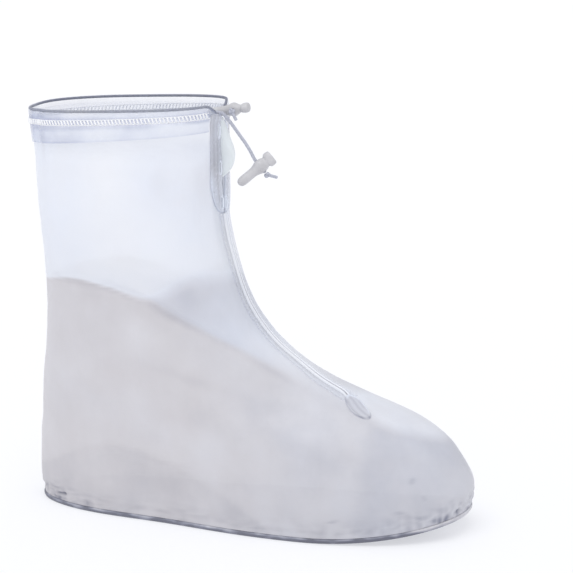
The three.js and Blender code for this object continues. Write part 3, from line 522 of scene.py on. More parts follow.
def tube(name, line, radius, sides, braid=0.0):
    """A round tube along a line of points, with rounded ends and, where asked, a braid's ridges."""
    line = np.asarray(line, float)
    ways = unit(np.gradient(line, axis=0))
    above = np.array([0.0, 0.0, 1.0]) if abs(ways[0][2]) < STEEP else np.array([0.0, 1.0, 0.0])
    right = unit(np.cross(ways[0], above))
    angles = circle(sides)
    strand_turns = STRANDS * angles / 2
    rings = []
    for point, way, at in zip(line, ways, lengths_along(line)):
        right = unit(right - way * np.dot(right, way))
        up = np.cross(right, way)
        twist = 2 * math.pi * at / LAY_LENGTH
        ridge = np.maximum(np.cos(strand_turns + twist), np.cos(strand_turns - twist))
        size = radius * (1 - braid * (1 - ridge))
        offset = np.outer(np.cos(angles) * size, right) + np.outer(np.sin(angles) * size, up)
        rings.append(point + offset)
    bulge = radius * CAP_BULGE
    obj = new_object(name, *closed(rings, [line[0] - ways[0] * bulge, line[-1] + ways[-1] * bulge]))
    fix_normals(obj)
    return obj


# Most values of a noise texture lie between these
NOISE_LOW = 0.3
NOISE_HIGH = 0.7


def plain_material(name, colour, roughness):
    material = bpy.data.materials.new(name)
    material.use_nodes = True
    tree = material.node_tree
    shader = tree.nodes["Principled BSDF"]
    shader.inputs["Base Color"].default_value = (*colour, 1)
    shader.inputs["Roughness"].default_value = roughness
    return material, tree, shader


def add_node(tree, kind, inputs, output, settings=()):
    """A node of a material, with its inputs set to numbers or linked, and the output asked for."""
    item = tree.nodes.new("ShaderNode" + kind)
    for name, value in settings:
        setattr(item, name, value)
    for name, value in inputs:
        if isinstance(value, bpy.types.NodeSocket):
            tree.links.new(value, item.inputs[name])
        else:
            item.inputs[name].default_value = value
    return item.outputs[output]


def noise_value(tree, scale, detail, roughness, stretch=None):
    place = tree.nodes.new("ShaderNodeTexCoord").outputs["Object"]
    if stretch:
        place = add_node(tree, "Mapping", [("Scale", stretch), ("Vector", place)], "Vector")
    inputs = [("Scale", scale), ("Detail", detail), ("Roughness", roughness), ("Vector", place)]
    return add_node(tree, "TexNoise", inputs, "Fac")


def remap(tree, value, low, high, to_low, to_high):
    spans = [("From Min", low), ("From Max", high), ("To Min", to_low), ("To Max", to_high)]
    return add_node(tree, "MapRange", [*spans, ("Value", value)], "Result")


def spread(tree, value, low, high):
    """A noise brought to run from low to high."""
    return remap(tree, value, NOISE_LOW, NOISE_HIGH, low, high)


def combine(tree, operation, one, other):
    return add_node(tree, "Math", [(0, one), (1, other)], 0, [("operation", operation)])


def ramp(tree, value, stops):
    colours = add_node(tree, "ValToRGB", [("Fac", value)], "Color")
    elements = colours.node.color_ramp.elements
    while len(elements) < len(stops):
        elements.new(0.5)
    for element, (place, colour) in zip(elements, stops):
        element.position = place
        element.color = (*colour, 1)
    return colours


def attribute(tree, name):
    return add_node(tree, "Attribute", [], "Fac", [("attribute_name", name)])


def add_bump(tree, shader, height, strength, distance):
    inputs = [("Strength", strength), ("Distance", distance), ("Height", height)]
    tree.links.new(add_node(tree, "Bump", inputs, "Normal"), shader.inputs["Normal"])


# Tones of the film run from 0, palest, to 1, darkest, and its tint from cool to warm
COOL = (0.955, 0.985, 1.03)
WARM = (1.0, 0.978, 0.955)
TINTS = [(0.0, COOL), (0.5, (1.0, 1.0, 1.0)), (1.0, WARM)]
PALE = (0.93, 0.95, 1.0)
MILKY = (0.86, 0.885, 0.96)
GREY = (0.66, 0.655, 0.70)
SLATE = (0.52, 0.52, 0.575)
DEEP = (0.27, 0.28, 0.35)
DARK = (0.15, 0.155, 0.20)
FILM_STOPS = [(0.0, PALE), (0.35, MILKY), (0.7, GREY), (0.82, SLATE), (0.92, DEEP), (1.0, DARK)]
HEM_STOPS = [(0.0, (0.93, 0.955, 1.0)), (0.5, (0.76, 0.80, 0.92)), (1.0, (0.42, 0.46, 0.64))]
CLEAR_STOPS = [(0.0, (0.94, 0.985, 1.0)), (0.5, (0.82, 0.87, 0.94)), (1.0, (0.30, 0.32, 0.40))]
PLAIN_FILM = (0.8, 0.8, 0.8)

# Noises of the film, each with its scale, detail and roughness
CLOUD = (26.0, 4.0, 0.55)
VEIN = (2.2, 3.0, 0.5)
TINGE = (21.0, 3.0, 0.55)
FINE = (420.0, 2.0, 0.5)
VEIN_SHARE = 0.7
TINGE_AMOUNT = 0.35
RIPPLE_CLOUD = 0.8
RIPPLE_FINE = 0.06
RIPPLE_STRENGTH = 0.5
RIPPLE_HEIGHT = 0.0012


def film_material(name, stops, alpha, roughness, mottle=0.04, streaks=(14.0, 14.0, 5.0)):
    """Soft clear film. The values tone, clear and warm of its mesh give its tone, with the painted
    light and shade that the pieces lay into it, how far it is clear and its tint, with a faint mottle over
    all of it."""
    material, tree, shader = plain_material(name, PLAIN_FILM, roughness)
    cloud = noise_value(tree, *CLOUD)
    vein_scale, vein_detail, vein_roughness = VEIN
    stretch = tuple(s * vein_scale for s in streaks)
    vein = noise_value(tree, 1.0, vein_detail, vein_roughness, stretch=stretch)
    cloudy = spread(tree, cloud, -mottle, mottle)
    veined = spread(tree, vein, -mottle * VEIN_SHARE, mottle * VEIN_SHARE)
    tone = combine(tree, "ADD", attribute(tree, "tone"), combine(tree, "ADD", cloudy, veined))
    tinge = spread(tree, noise_value(tree, *TINGE), -TINGE_AMOUNT, TINGE_AMOUNT)
    warmth = combine(tree, "ADD", attribute(tree, "warm"), tinge)
    tint = ramp(tree, remap(tree, warmth, -1.0, 1.0, 0.0, 1.0), TINTS)
    inputs = [("Factor", 1.0), ("A", ramp(tree, tone, stops)), ("B", tint)]
    settings = [("data_type", "RGBA"), ("blend_type", "MULTIPLY")]
    tree.links.new(add_node(tree, "Mix", inputs, "Result", settings), shader.inputs["Base Color"])
    fine = noise_value(tree, *FINE)
    gloss = spread(tree, fine, roughness - 0.05, roughness + 0.07)
    tree.links.new(gloss, shader.inputs["Roughness"])
    clearness = remap(tree, attribute(tree, "clear"), 0.0, 1.0, alpha, 0.0)
    tree.links.new(clearness, shader.inputs["Alpha"])
    swell = combine(tree, "MULTIPLY", cloud, RIPPLE_CLOUD)
    ripple = combine(tree, "ADD", swell, combine(tree, "MULTIPLY", fine, RIPPLE_FINE))
    add_bump(tree, shader, ripple, RIPPLE_STRENGTH, RIPPLE_HEIGHT)
    return material


body_film = film_material("body_film", FILM_STOPS, 0.90, 0.34)
hem_film = film_material("hem_film", HEM_STOPS, 0.46, 0.22, mottle=0.34, streaks=(7.0, 7.0, 45.0))
strip_film = film_material("strip_film", FILM_STOPS, 0.98, 0.24, mottle=0.14, streaks=(40.0, 40.0, 6.0))
trim_film = film_material("trim_film", FILM_STOPS, 0.85, 0.22)
clear_film = film_material("clear_film", CLEAR_STOPS, 0.96, 0.14, mottle=0.03)
sole_film = film_material("sole_film", FILM_STOPS, 0.97, 0.42, mottle=0.08)


def cloth_material(name, colour, roughness, grain, dark, light, bump, height):
    """Cord or thread: one fine noise gives the fibres' colours and their bump."""
    material, tree, shader = plain_material(name, colour, roughness)
    fibre = noise_value(tree, *grain)
    colours = ramp(tree, fibre, [(NOISE_LOW, dark), (NOISE_HIGH, light)])
    tree.links.new(colours, shader.inputs["Base Color"])
    add_bump(tree, shader, fibre, bump, height)
    return material


CORD_FIBRE = (1400.0, 3.0, 0.6)
THREAD_FIBRE = (2200.0, 2.0, 0.6)
# The cord in the hem's channel is a darker copy of the free cord's cloth: painted shade of the channel and
# film round it
shaded_cord_cloth = cloth_material(
    "shaded_cord_cloth", (0.2, 0.21, 0.25), 0.85, CORD_FIBRE, (0.15, 0.16, 0.20), (0.27, 0.28, 0.36), 0.6, 0.0002
)
free_cloth = cloth_material(
    "free_cord_cloth", (0.4, 0.41, 0.45), 0.85, CORD_FIBRE,
    (0.38, 0.395, 0.46), (0.60, 0.615, 0.70), 0.6, 0.0002,
)
thread_cloth = cloth_material(
    "thread_cloth", (0.9, 0.9, 0.92), 0.7, THREAD_FIBRE,
    (0.93, 0.94, 0.97), (0.99, 0.99, 1.0), 0.5, 0.0001,
)

MOULDED_GRAIN = (900.0, 3.0, 0.6)
MOULDED_STAIN = (140.0, 3.0, 0.5)
MOULDED_DARK = (0.51, 0.505, 0.525)
MOULDED_LIGHT = (0.62, 0.615, 0.635)
moulded, tree, shader = plain_material("moulded_plastic", (0.60, 0.59, 0.60), 0.36)
grain = noise_value(tree, *MOULDED_GRAIN)
stain = noise_value(tree, *MOULDED_STAIN)
moulded_colours = ramp(tree, stain, [(NOISE_LOW, MOULDED_DARK), (NOISE_HIGH, MOULDED_LIGHT)])
tree.links.new(moulded_colours, shader.inputs["Base Color"])
tree.links.new(spread(tree, grain, 0.3, 0.45), shader.inputs["Roughness"])
add_bump(tree, shader, grain, 0.35, 0.0001)

# Where the milky shaft ends, and where the greyer foot starts: ahead of the middle, height.
# Behind they are one edge. In front a bluer wedge lies between them, over the instep.
BACK_EDGE = [(-150, 151), (-128, 156), (-108, 159), (-84, 155), (-63, 149)]
SHAFT_EDGE = BACK_EDGE + [(-52, 150), (-35, 159), (-20, 163), (0, 162), (150, 162)]
FOOT_EDGE = BACK_EDGE + [
    (-54, 147), (-44, 141), (-25, 131), (3, 116), (25, 103), (45, 92), (70, 84), (150, 84),
]
# The upper edge of the darker heel, a painted shade low on the foot, and the lower edge of the pale band on
# top of the toe, a painted highlight
HEEL_EDGE = [
    (-150, 24), (-134, 30), (-107, 43), (-84, 49), (-54, 46), (-18, 34), (20, 12), (60, -20), (150, -40),
]
TOE_EDGE = [(-150, 90), (60, 90), (84, 78), (96, 72), (112, 67), (124, 63), (132, 61), (150, 60)]
shaft_edge = through_rows(SHAFT_EDGE)
foot_edge = through_rows(FOOT_EDGE)
heel_edge = through_rows(HEEL_EDGE)
toe_edge = through_rows(TOE_EDGE)
SHAFT_TONE = 0.20
WEDGE_TONE = 0.60
FOOT_TONE = 0.68
# Painted shade low on the heel and on the toe below its pale band, and the band's painted highlight
HEEL_SHADE = 0.055
TOE_SHADE = 0.055
BAND_HIGHLIGHT = -0.20
TIP_TONE = -0.05

# Painted highlights (amount below nought) and painted shade (above nought) laid over the film: ahead,
# height, reach ahead, reach up, lean in degrees, amount
SHADE_AND_HIGHLIGHT_SPOTS = [
    (-82, 226, 20, 26, 0, -0.17),
    (-72, 200, 16, 16, 30, -0.06),
    (-128, 205, 10, 44, 0, 0.09),
    (-50, 222, 14, 22, 0, 0.18),
    (-16, 178, 12, 14, 0, -0.09),
    (-52, 190, 16, 12, 0, -0.05),
    (-62, 172, 26, 8, 8, -0.08),
    (-112, 178, 14, 10, 0, 0.07),
    (-141, 148, 5, 3.5, 60, 0.10),
    (-100, 156, 26, 3, -2, 0.05),
    (-74, 152, 20, 2.6, -14, 0.06),
    (-42, 139, 20, 2.6, -26, 0.08),
    (-8, 121, 26, 2.4, -29, 0.05),
    (30, 100, 20, 2.4, -29, 0.09),
    (-20, 96, 30, 3.5, -14, 0.04),
    (-90, 150, 18, 7, -6, 0.05),
    (-62, 122, 12, 16, 0, -0.10),
    (-66, 85, 14, 12, 0, -0.06),
    (-128, 82, 16, 34, 0, -0.05),
    (52, 62, 40, 16, -20, 0.05),
    (-24, 208, 20, 50, 0, 0.16),
    (-18, 228, 10, 20, 0, 0.08),
    (-34, 148, 12, 12, 0, 0.12),
    (30, 112, 26, 7, -30, -0.20),
    (-40, 62, 46, 10, -14, -0.05),
    (-131, 250, 3.5, 16, 0, 0.30),
    (118, 41, 2.0, 1.4, 20, 0.13),
    (112, 22, 3.0, 0.8, 0, 0.12),
    (72, 16, 3.4, 0.8, 10, 0.14),
    (126, 30, 1.6, 1.0, -20, 0.08),
]


def film_tone(points):
    """The film's soft zones, with painted shade low on the heel and toe, a painted highlight along the top
    of the toe, and the spots of painted highlight and painted shade laid over them.
    """
    x, _, z = np.moveaxis(points, -1, 0)
    above = step(z - shaft_edge(x), mix(3.0, 14.0, smooth((x + 75) / 40)))
    below = step(foot_edge(x) - z, mix(4.0, 9.0, smooth((x - 20) / 40)))
    tone = SHAFT_TONE * above + (1 - above) * mix(WEDGE_TONE, FOOT_TONE, below)
    # Painted shade low on the heel
    tone = tone + HEEL_SHADE * step(heel_edge(x) - z, 6)
    # A painted highlight along the top of the toe, with painted shade on the toe below it
    toe_highlight = step(z - toe_edge(x), 6) * smooth((x - 60) / 18)
    tone = tone + mix(TOE_SHADE * smooth((x - 80) / 14), BAND_HIGHLIGHT, toe_highlight)
    tone = tone + TIP_TONE * smooth((x - 138) / 12) * smooth((60 - z) / 30)
    # Spots of painted highlight and painted shade
    for x_at, z_at, reach, tall, lean, amount in SHADE_AND_HIGHLIGHT_SPOTS:
        along, across = leaned(x - x_at, z - z_at, lean)
        tone = tone + amount * np.exp(-(along / reach) ** 2 - (across / tall) ** 2)
    return tone


def film_warmth(points):
    """How warm the film's tint is. The foot is warmest at the heel and coolest at the toe, below the
    painted highlight along its top, which is kept less cool, and the middle of the shaft, under its painted
    highlight, is a little warm."""
    x, _, z = np.moveaxis(points, -1, 0)
    foot = step(foot_edge(x) - z, 6)
    wedge = step(shaft_edge(x) - z, 12) * (1 - foot)
    shaft_middle = np.exp(-((x + 82) / 22) ** 2 - ((z - 222) / 30) ** 2)
    below_band = step(toe_edge(x) - z, 8)
    along_foot = mix(1.0, -0.25, smooth((x + 50) / 120)) - 0.30 * smooth((x - 78) / 20) * below_band
    along_foot = along_foot + 0.35 * smooth((x - 70) / 20) * (1 - below_band)
    cool = 0.65 * wedge * smooth((40 - x) / 40)
    return foot * along_foot + (1 - foot) * (0.5 * shaft_middle - 0.1) - cool


def film_clearness(points):
    """How far the film lets the light through: most of all at the rim, least at the foot."""
    x, y, z = np.moveaxis(points, -1, 0)
    shaft = step(z - shaft_edge(x), 10)
    rim = smooth((z - 235) / 20)
    return 0.04 + 0.12 * shaft + (0.42 + 0.25 * step(y, 20)) * rim


NOISE_STRIDES = (17.3, 5.1, 9.7)


def noise_at(points, scale, seed):
    """Smooth noise about nought at points in millimetres, a different one for each seed."""
    offset = Vector([seed * stride for stride in NOISE_STRIDES])
    flat = np.asarray(points, float).reshape(-1, 3) / scale
    values = [noise.noise(Vector(p) + offset) for p in flat]
    return np.array(values).reshape(np.asarray(points).shape[:-1])


# Creases of the film: side, start ahead and height, end ahead and height, width, depth. A depth
# below nought is a ridge.
CREASES = [
    (-1, -128, 156, -84, 155, 3.0, 1.0),
    (-1, -84, 155, -54, 147, 2.6, 1.4),
    (-1, -54, 147, -25, 131, 2.6, 1.3),
    (-1, -25, 131, 3, 116, 2.6, 1.1),
    (-1, 3, 116, 40, 95, 2.8, 0.9),
    (-1, -50, 152, -20, 162, 4.0, 0.8),
    (-1, -98, 140, -92, 104, 7.0, -0.7),
    (-1, -64, 138, -60, 106, 6.0, -0.6),
    (-1, 30, 84, 66, 70, 5.0, 0.5),
    (-1, -120, 36, -84, 49, 3.0, 0.5),
    (-1, -84, 49, -30, 38, 3.0, 0.5),
    (1, -120, 152, -60, 142, 4.0, 1.0),
    (1, -60, 142, -25, 118, 4.0, 1.1),
    (1, -25, 118, 20, 96, 4.0, 0.8),
    (1, -110, 60, -60, 52, 5.0, 0.6),
]
CREASE_FADE = 12
PUCKER_RISE = 13.0
PUCKER_DEPTH = 2.4
# Painted shade in the puckers' dents and painted highlight on their ridges, by how deep they are
PUCKER_SHADE = 0.26
# Soft waves of the film: how large, how far apart, seed
WIDE_WAVE = (1.0, 34.0, 1)
SMALL_WAVE = (0.35, 13.0, 2)
DRAWN_IN = 0.7


def over_sole(x, z):
    return z - spring(x, FOOT_Z) - FOOT_Z


def puckers(points):
    """The small upright wrinkles over the weld of the sole, most of them at the heel and the toe."""
    x, y, z = np.moveaxis(points, -1, 0)
    low = smooth(1.15 - over_sole(x, z) / PUCKER_RISE)
    upright = np.stack([x, y, z * 0.25], axis=-1)
    slanted = np.stack([(x + z) * 0.45, y, z * 1.6 - x * 0.2], axis=-1)
    straight_folds = np.abs(noise_at(upright, 5.0, 3)) * 2.2 - 0.35
    slanted_folds = np.abs(noise_at(slanted, 6.5, 4)) * 2.2 - 0.30
    most = 0.30 + 0.70 * smooth((np.abs(x - 5) - 90) / 40)
    return low * most * (0.40 * straight_folds + 0.60 * slanted_folds)


def creased(points, out):
    """The film's points with creases, soft waves and the puckers over the sole's weld."""
    x, y, z = np.moveaxis(points, -1, 0)
    push = np.zeros_like(x)
    for side, x_start, z_start, x_end, z_end, width, depth in CREASES:
        run = np.array([x_end - x_start, z_end - z_start], float)
        long = np.hypot(*run)
        run = run / long
        along = (x - x_start) * run[0] + (z - z_start) * run[1]
        across = (z - z_start) * run[0] - (x - x_start) * run[1]
        ends = step(along, CREASE_FADE) * step(long - along, CREASE_FADE)
        push = push - depth * (bell(across, 0, width) * ends * smooth(side * y / 10))
    amount, apart, seed = WIDE_WAVE
    push = push - DRAWN_IN + amount * noise_at(points * np.array([1.0, 1.0, 0.55]), apart, seed)
    amount, apart, seed = SMALL_WAVE
    push = push + amount * noise_at(points, apart, seed)
    push = push - PUCKER_DEPTH * puckers(points)
    seated = smooth(over_sole(x, z) / 2.5)
    top = smooth((RIM_HEIGHT - 6 - z) / 20)
    return points + out * (push * seated * top)[..., None]


SHELL_COUNT = 300
SHELL_LOW = 24
LOW_LEVELS = 16
LEVELS = 128
CROWDING = 0.45
SLOT_SHIFTS = np.array([-1.0, -0.5, 0.0, 0.5, 1.0])
SLOT_MARGIN = 0.9


def cover_shell():
    """The film boot as one thin sheet, open at the top and along the slit."""
    levels = np.concatenate([
        np.linspace(FOOT_Z, SHELL_LOW, LOW_LEVELS, endpoint=False),
        np.linspace(SHELL_LOW, WALL_TOP, LEVELS),
    ])
    length_at = np.interp(-levels, -slit_z, slit_lengths)
    turns_at = slit_turn(np.maximum(levels, SLIT_LOW))
    in_slit = levels > np.interp(SLIT_END, slit_lengths, slit_z)
    across = np.linalg.norm(face(levels, turns_at)[2], axis=-1)
    gap = np.where(in_slit, slit_half(length_at) / across, 0.0)
    # The points crowd towards the slit
    crowd = np.linspace(0, 1, SHELL_COUNT)
    share = crowd - CROWDING * np.sin(2 * math.pi * crowd) / (2 * math.pi)
    turns = (turns_at + gap)[:, None] + (2 * math.pi - 2 * gap)[:, None] * share[None, :]
    z = np.repeat(levels[:, None], SHELL_COUNT, axis=1)
    plain, _, _, out = face(z, turns)
    from_slit = np.minimum(share, 1 - share)[None, :] * 2 * math.pi * across[:, None]
    points = mix(plain, creased(plain, out), smooth(from_slit / 14 - 0.6)[..., None])
    faces = grid_faces(len(levels), SHELL_COUNT)
    middles = points.reshape(-1, 3)[np.array(faces)].mean(axis=1)
    slot_here = np.zeros(len(faces), bool)
    for side in (-1, 1):
        for at in SLOTS:
            lengths = at + SLOT_SHIFTS * (SLOT_LENGTH - SLOT_WIDTH) / 2
            spots = beside(lengths, side * (strip_in(at) + SLOT_INSET), 0.0)
            gaps = np.linalg.norm(middles[:, None, :] - spots[None], axis=-1).min(axis=1)
            slot_here |= gaps < SLOT_WIDTH / 2 + SLOT_MARGIN
    faces = [f for f, opened in zip(faces, slot_here) if not opened]
    # The film's painted light and shade, with painted shade in the puckers' dents and painted highlight on
    # their ridges
    tone = film_tone(points) + PUCKER_SHADE * puckers(plain)
    clear = film_clearness(points)
    return film_piece("boot_film", points, faces, tone, clear, film_warmth(points), merge=0.02)


# The sole's edge, from below to above: out from the weld, up from the ground
SOLE_PROFILE = [(-1.2, 0.0), (0.1, 0.15), (0.6, 0.8), (0.8, 1.6), (0.8, 2.4), (0.5, 3.0), (-1.5, 3.1)]
SOLE_COUNT = 360
SOLE_ACROSS = 18
SOLE_TONE = 0.95


def sole_plate():
    """The sole: a plate with a rounded, slightly wavy edge and a lip outside the weld."""
    half = SOLE_COUNT // 2
    points, _, _, out = face(np.full(SOLE_COUNT, FOOT_Z), circle(SOLE_COUNT))
    wave = 0.25 * noise_at(points, 14.0, 5)
    rings = []
    for out_by, z in SOLE_PROFILE:
        ring = points + level_way(out) * (out_by + wave * (z > 0.5))[:, None]
        ring[:, 2] = z + spring(ring[:, 0], FOOT_Z)
        rings.append(ring)
    faces = grid_faces(len(rings), SOLE_COUNT, wrap=True)
    shares = np.linspace(0, 1, SOLE_ACROSS)
    every = [np.concatenate(rings)]
    for ring, turned in ((rings[0], True), (rings[-1], False)):
        start = sum(len(part) for part in every)
        one = ring[: half + 1]
        other = ring[(SOLE_COUNT - np.arange(half + 1)) % SOLE_COUNT]
        sheet = mix(one[:, None, :], other[:, None, :], shares[None, :, None])
        every.append(sheet.reshape(-1, 3))
        faces += grid_faces(half + 1, SOLE_ACROSS, start=start, turned=turned)
    whole = np.concatenate(every)
    height = whole[:, 2] - spring(whole[:, 0], FOOT_Z)
    streaks = 0.14 * noise_at(whole * np.array([1.0, 1.0, 3.0]), 7.0, 6)
    # Painted shade: the sole is darker towards its bottom edge, and paler at the toe, where it lifts off
    # the floor
    lifted = smooth((whole[..., 0] - 112) / 22)
    tone = SOLE_TONE + 0.10 * smooth((2.4 - height) / 1.2) + streaks - 0.22 * lifted
    return film_piece("sole_plate", whole, faces, tone, 0.0, merge=0.02)


def turns_from_front(turns):
    return np.minimum(turns, 2 * math.pi - turns)


def hem_turns(count):
    """Turns round the rim from one end of the hem to the other, and where they and a strip start."""
    z, turn, _, _, side = station(np.array([0.0]))
    start = walk(z, turn, side, np.array([HEM_END]))[1][0]
    strip = walk(z, turn, side, np.array([STRIP_EDGE + GAP * 2]))[1][0]
    return np.linspace(start, 2 * math.pi - start, count), start, strip


def hem_depth(turns, strip_turn):
    x = skin(np.full_like(turns, RIM_HEIGHT), turns)[:, 0]
    share = np.clip((x - RIM_BACK_X) / SHAFT_LENGTH, 0, 1)
    clear = step(turns_from_front(turns) - strip_turn, 0.02)
    return mix(HEM_END_DEPTH, mix(HEM_DEPTH_BACK, HEM_DEPTH_FRONT, share), clear)


FOLD_LOOK = 1.35
FOLD_DOWN = 1.0
FAR_FOLD_DOWN = 0.3
LEAF_OUT = 0.45


def fold_down(turns, start):
    """How far down the fold's middle is: highest all round, and at the channel by its mouths."""
    down = mix(FOLD_DOWN, FAR_FOLD_DOWN, step(np.sin(turns), 1))
    return mix(FOLD_RADIUS, down, smooth((turns_from_front(turns) - start) / 0.25))


HEM_COUNT = 420
# Down the outer leaf, row by row: tone, clearness. Then the fold's and the inner leaf's.
LEAF_LOOKS = [
    (1.0, 0.0), (0.6, 0.0), (0.5, 0.0), (0.5, 0.0), (0.6, 0.0), (0.95, 0.0), (0.8, 0.0), (0.8, 0.0),
    (1.2, 0.0), (0.9, 0.0), (0.7, 0.2), (0.6, 0.4),
]
FOLD_LOOKS = [(0.3, 0.55)] * 13
INNER_LOOKS = [(0.3, 0.5)] * 5
HEM_TONE = 0.8
MOST_CLEAR = 0.9
# Painted shade in upright creases of the hem at the back: ahead, width, tone
HEM_CREASE_SHADES = [(-131, 3.5, 0.34), (-143, 4, 0.2)]


def top_hem():
    """The folded band round the rim as one sheet: outer leaf, fold over the cord, inner leaf."""
    turns, start, strip_turn = hem_turns(HEM_COUNT)
    depth = hem_depth(turns, strip_turn)
    fold = fold_down(turns, start)
    rows = []
    for share in np.linspace(1, 0, len(LEAF_LOOKS)):
        belly = 0.3 * math.sin(math.pi * share)
        rows.append((LEAF_OUT + belly, fold + (depth - fold) * share))
    for angle in np.radians(np.linspace(-10, 190, len(FOLD_LOOKS))):
        rows.append((-WALL / 2 + FOLD_LOOK * math.cos(angle), fold - FOLD_LOOK * math.sin(angle)))
    for share in np.linspace(0.15, 1, len(INNER_LOOKS)):
        rows.append((-WALL - GAP, mix(fold, HEM_INNER_DEPTH, share)))
    points = np.stack([rim_point(turns, down, np.full(HEM_COUNT, out)) for out, down in rows])
    ripple = 0.35 * noise_at(points, 16.0, 7) - 0.1
    gathered = smooth(1 - np.abs(np.arange(len(rows)) - 9) / 6)[:, None]
    ripple = ripple + 0.12 * np.sin(turns * 160)[None, :] * gathered
    level = level_way(face(np.full(HEM_COUNT, RIM_HEIGHT), turns)[3])
    points = points + level[None] * ripple[..., None] * 0.6
    looks = np.array(LEAF_LOOKS + FOLD_LOOKS + INNER_LOOKS)
    x, y, _ = np.moveaxis(points, -1, 0)
    # Painted shade along the hem's upright creases
    crease_shade = sum(tone * bell(x, ahead, width) for ahead, width, tone in HEM_CREASE_SHADES)
    tone = (looks[:, 0] * HEM_TONE)[:, None] + crease_shade
    clear = np.minimum(looks[:, 1][:, None] + 0.45 * step(y, 20), MOST_CLEAR)
    return film_piece("rim_hem", points, grid_faces(len(rows), HEM_COUNT), tone, clear)


STITCH_PITCH = 2.4
STITCH_TALL = 3.1
STITCH_AT = 0.39
STITCH_OUT = 0.45
STITCH_ARCH = 0.28
STITCH_SLANT = 0.25
STITCH_SIDES = 6
STITCH_LINE_POINTS = 1600
RAIL_RADIUS = 0.22
RUNG_RADIUS = 0.58


def hem_stitches():
    """The ladder of white stitches round the hem: a rung for each stitch and two rails."""
    turns, _, strip_turn = hem_turns(STITCH_LINE_POINTS)
    depth = hem_depth(turns, strip_turn)
    keep = turns_from_front(turns) > strip_turn + 0.01
    turns = turns[keep]
    middle = depth[keep] * STITCH_AT
    out_by = LEAF_OUT + STITCH_OUT
    flat_out = np.full_like(turns, out_by)
    at = lengths_along(rim_point(turns, middle, flat_out))
    parts = []
    for shift in (-STITCH_TALL / 2, STITCH_TALL / 2):
        rail = rim_point(turns, middle + shift, flat_out)
        parts.append(tube("rail", rail[::3], RAIL_RADIUS, STITCH_SIDES))
    length_by_turn = np.gradient(at, turns)
    shares = np.linspace(-1, 1, 5)
    lifts = out_by + STITCH_ARCH * (1 - shares ** 2)
    for place in np.arange(STITCH_PITCH, at[-1] - STITCH_PITCH, STITCH_PITCH):
        turn = np.interp(place, at, turns)
        down = np.interp(place, at, middle)
        slant = STITCH_SLANT * STITCH_PITCH / max(1.0, np.interp(place, at, length_by_turn))
        rung = rim_point(turn + slant * shares, down + shares * STITCH_TALL / 2, lifts)
        parts.append(tube("rung", rung, RUNG_RADIUS, STITCH_SIDES))
    return joined("hem_stitching", parts)


def strip_in(length):
    return slit_half(length) + GAP


def strip_out(length):
    past = np.clip((length - (STRIP_END - STRIP_ROUND)) / STRIP_ROUND, 0, 1)
    return mix(strip_in(length) + SLOT_WIDTH, STRIP_EDGE, np.sqrt(1 - past ** 2))


STRIP_LOOK_TOP = 3.6
STRIP_SIDE_POINTS = 66
STRIP_ROUND_POINTS = 24
STRIP_GRID = 1.0
SLOT_POINTS = 24
NO_FACE = -0.05
STRIP_WARMTH = -0.8


def from_slot(length, aside):
    """How far outside the nearest slot of a strip a place is, below nought inside it."""
    best = np.inf
    for at in SLOTS:
        past = max(0.0, abs(length - at) - (SLOT_LENGTH - SLOT_WIDTH) / 2)
        best = min(best, math.hypot(past, aside - (strip_in(at) + SLOT_INSET)) - SLOT_WIDTH / 2)
    return best


def strip_loops():
    """The strip's border and its slots' borders, as lists of (aside, length)."""
    round_start = STRIP_END - STRIP_ROUND
    sides = np.linspace(STRIP_LOOK_TOP, STRIP_END, STRIP_SIDE_POINTS)
    quarter = np.sin(np.linspace(0, math.pi / 2, STRIP_ROUND_POINTS))
    outer = [(strip_out(down), down) for down in sides if down < round_start]
    outer += [(strip_out(down), down) for down in STRIP_END - STRIP_ROUND * (1 - quarter)]
    inner = [(strip_in(down), down) for down in sides[::-1]]
    top = np.linspace(strip_in(STRIP_LOOK_TOP), STRIP_EDGE, 10)[1:-1]
    loops = [[(aside, STRIP_LOOK_TOP) for aside in top] + outer + inner]
    straight = (SLOT_LENGTH - SLOT_WIDTH) / 2
    radius = SLOT_WIDTH / 2
    for at in SLOTS:
        centre = strip_in(at) + SLOT_INSET
        loop = []
        for k in range(SLOT_POINTS):
            angle = 2 * math.pi * k / SLOT_POINTS
            shift = straight if math.sin(angle) >= 0 else -straight
            loop.append((centre + radius * math.cos(angle), at + shift + radius * math.sin(angle)))
        loops.append(loop)
    return loops


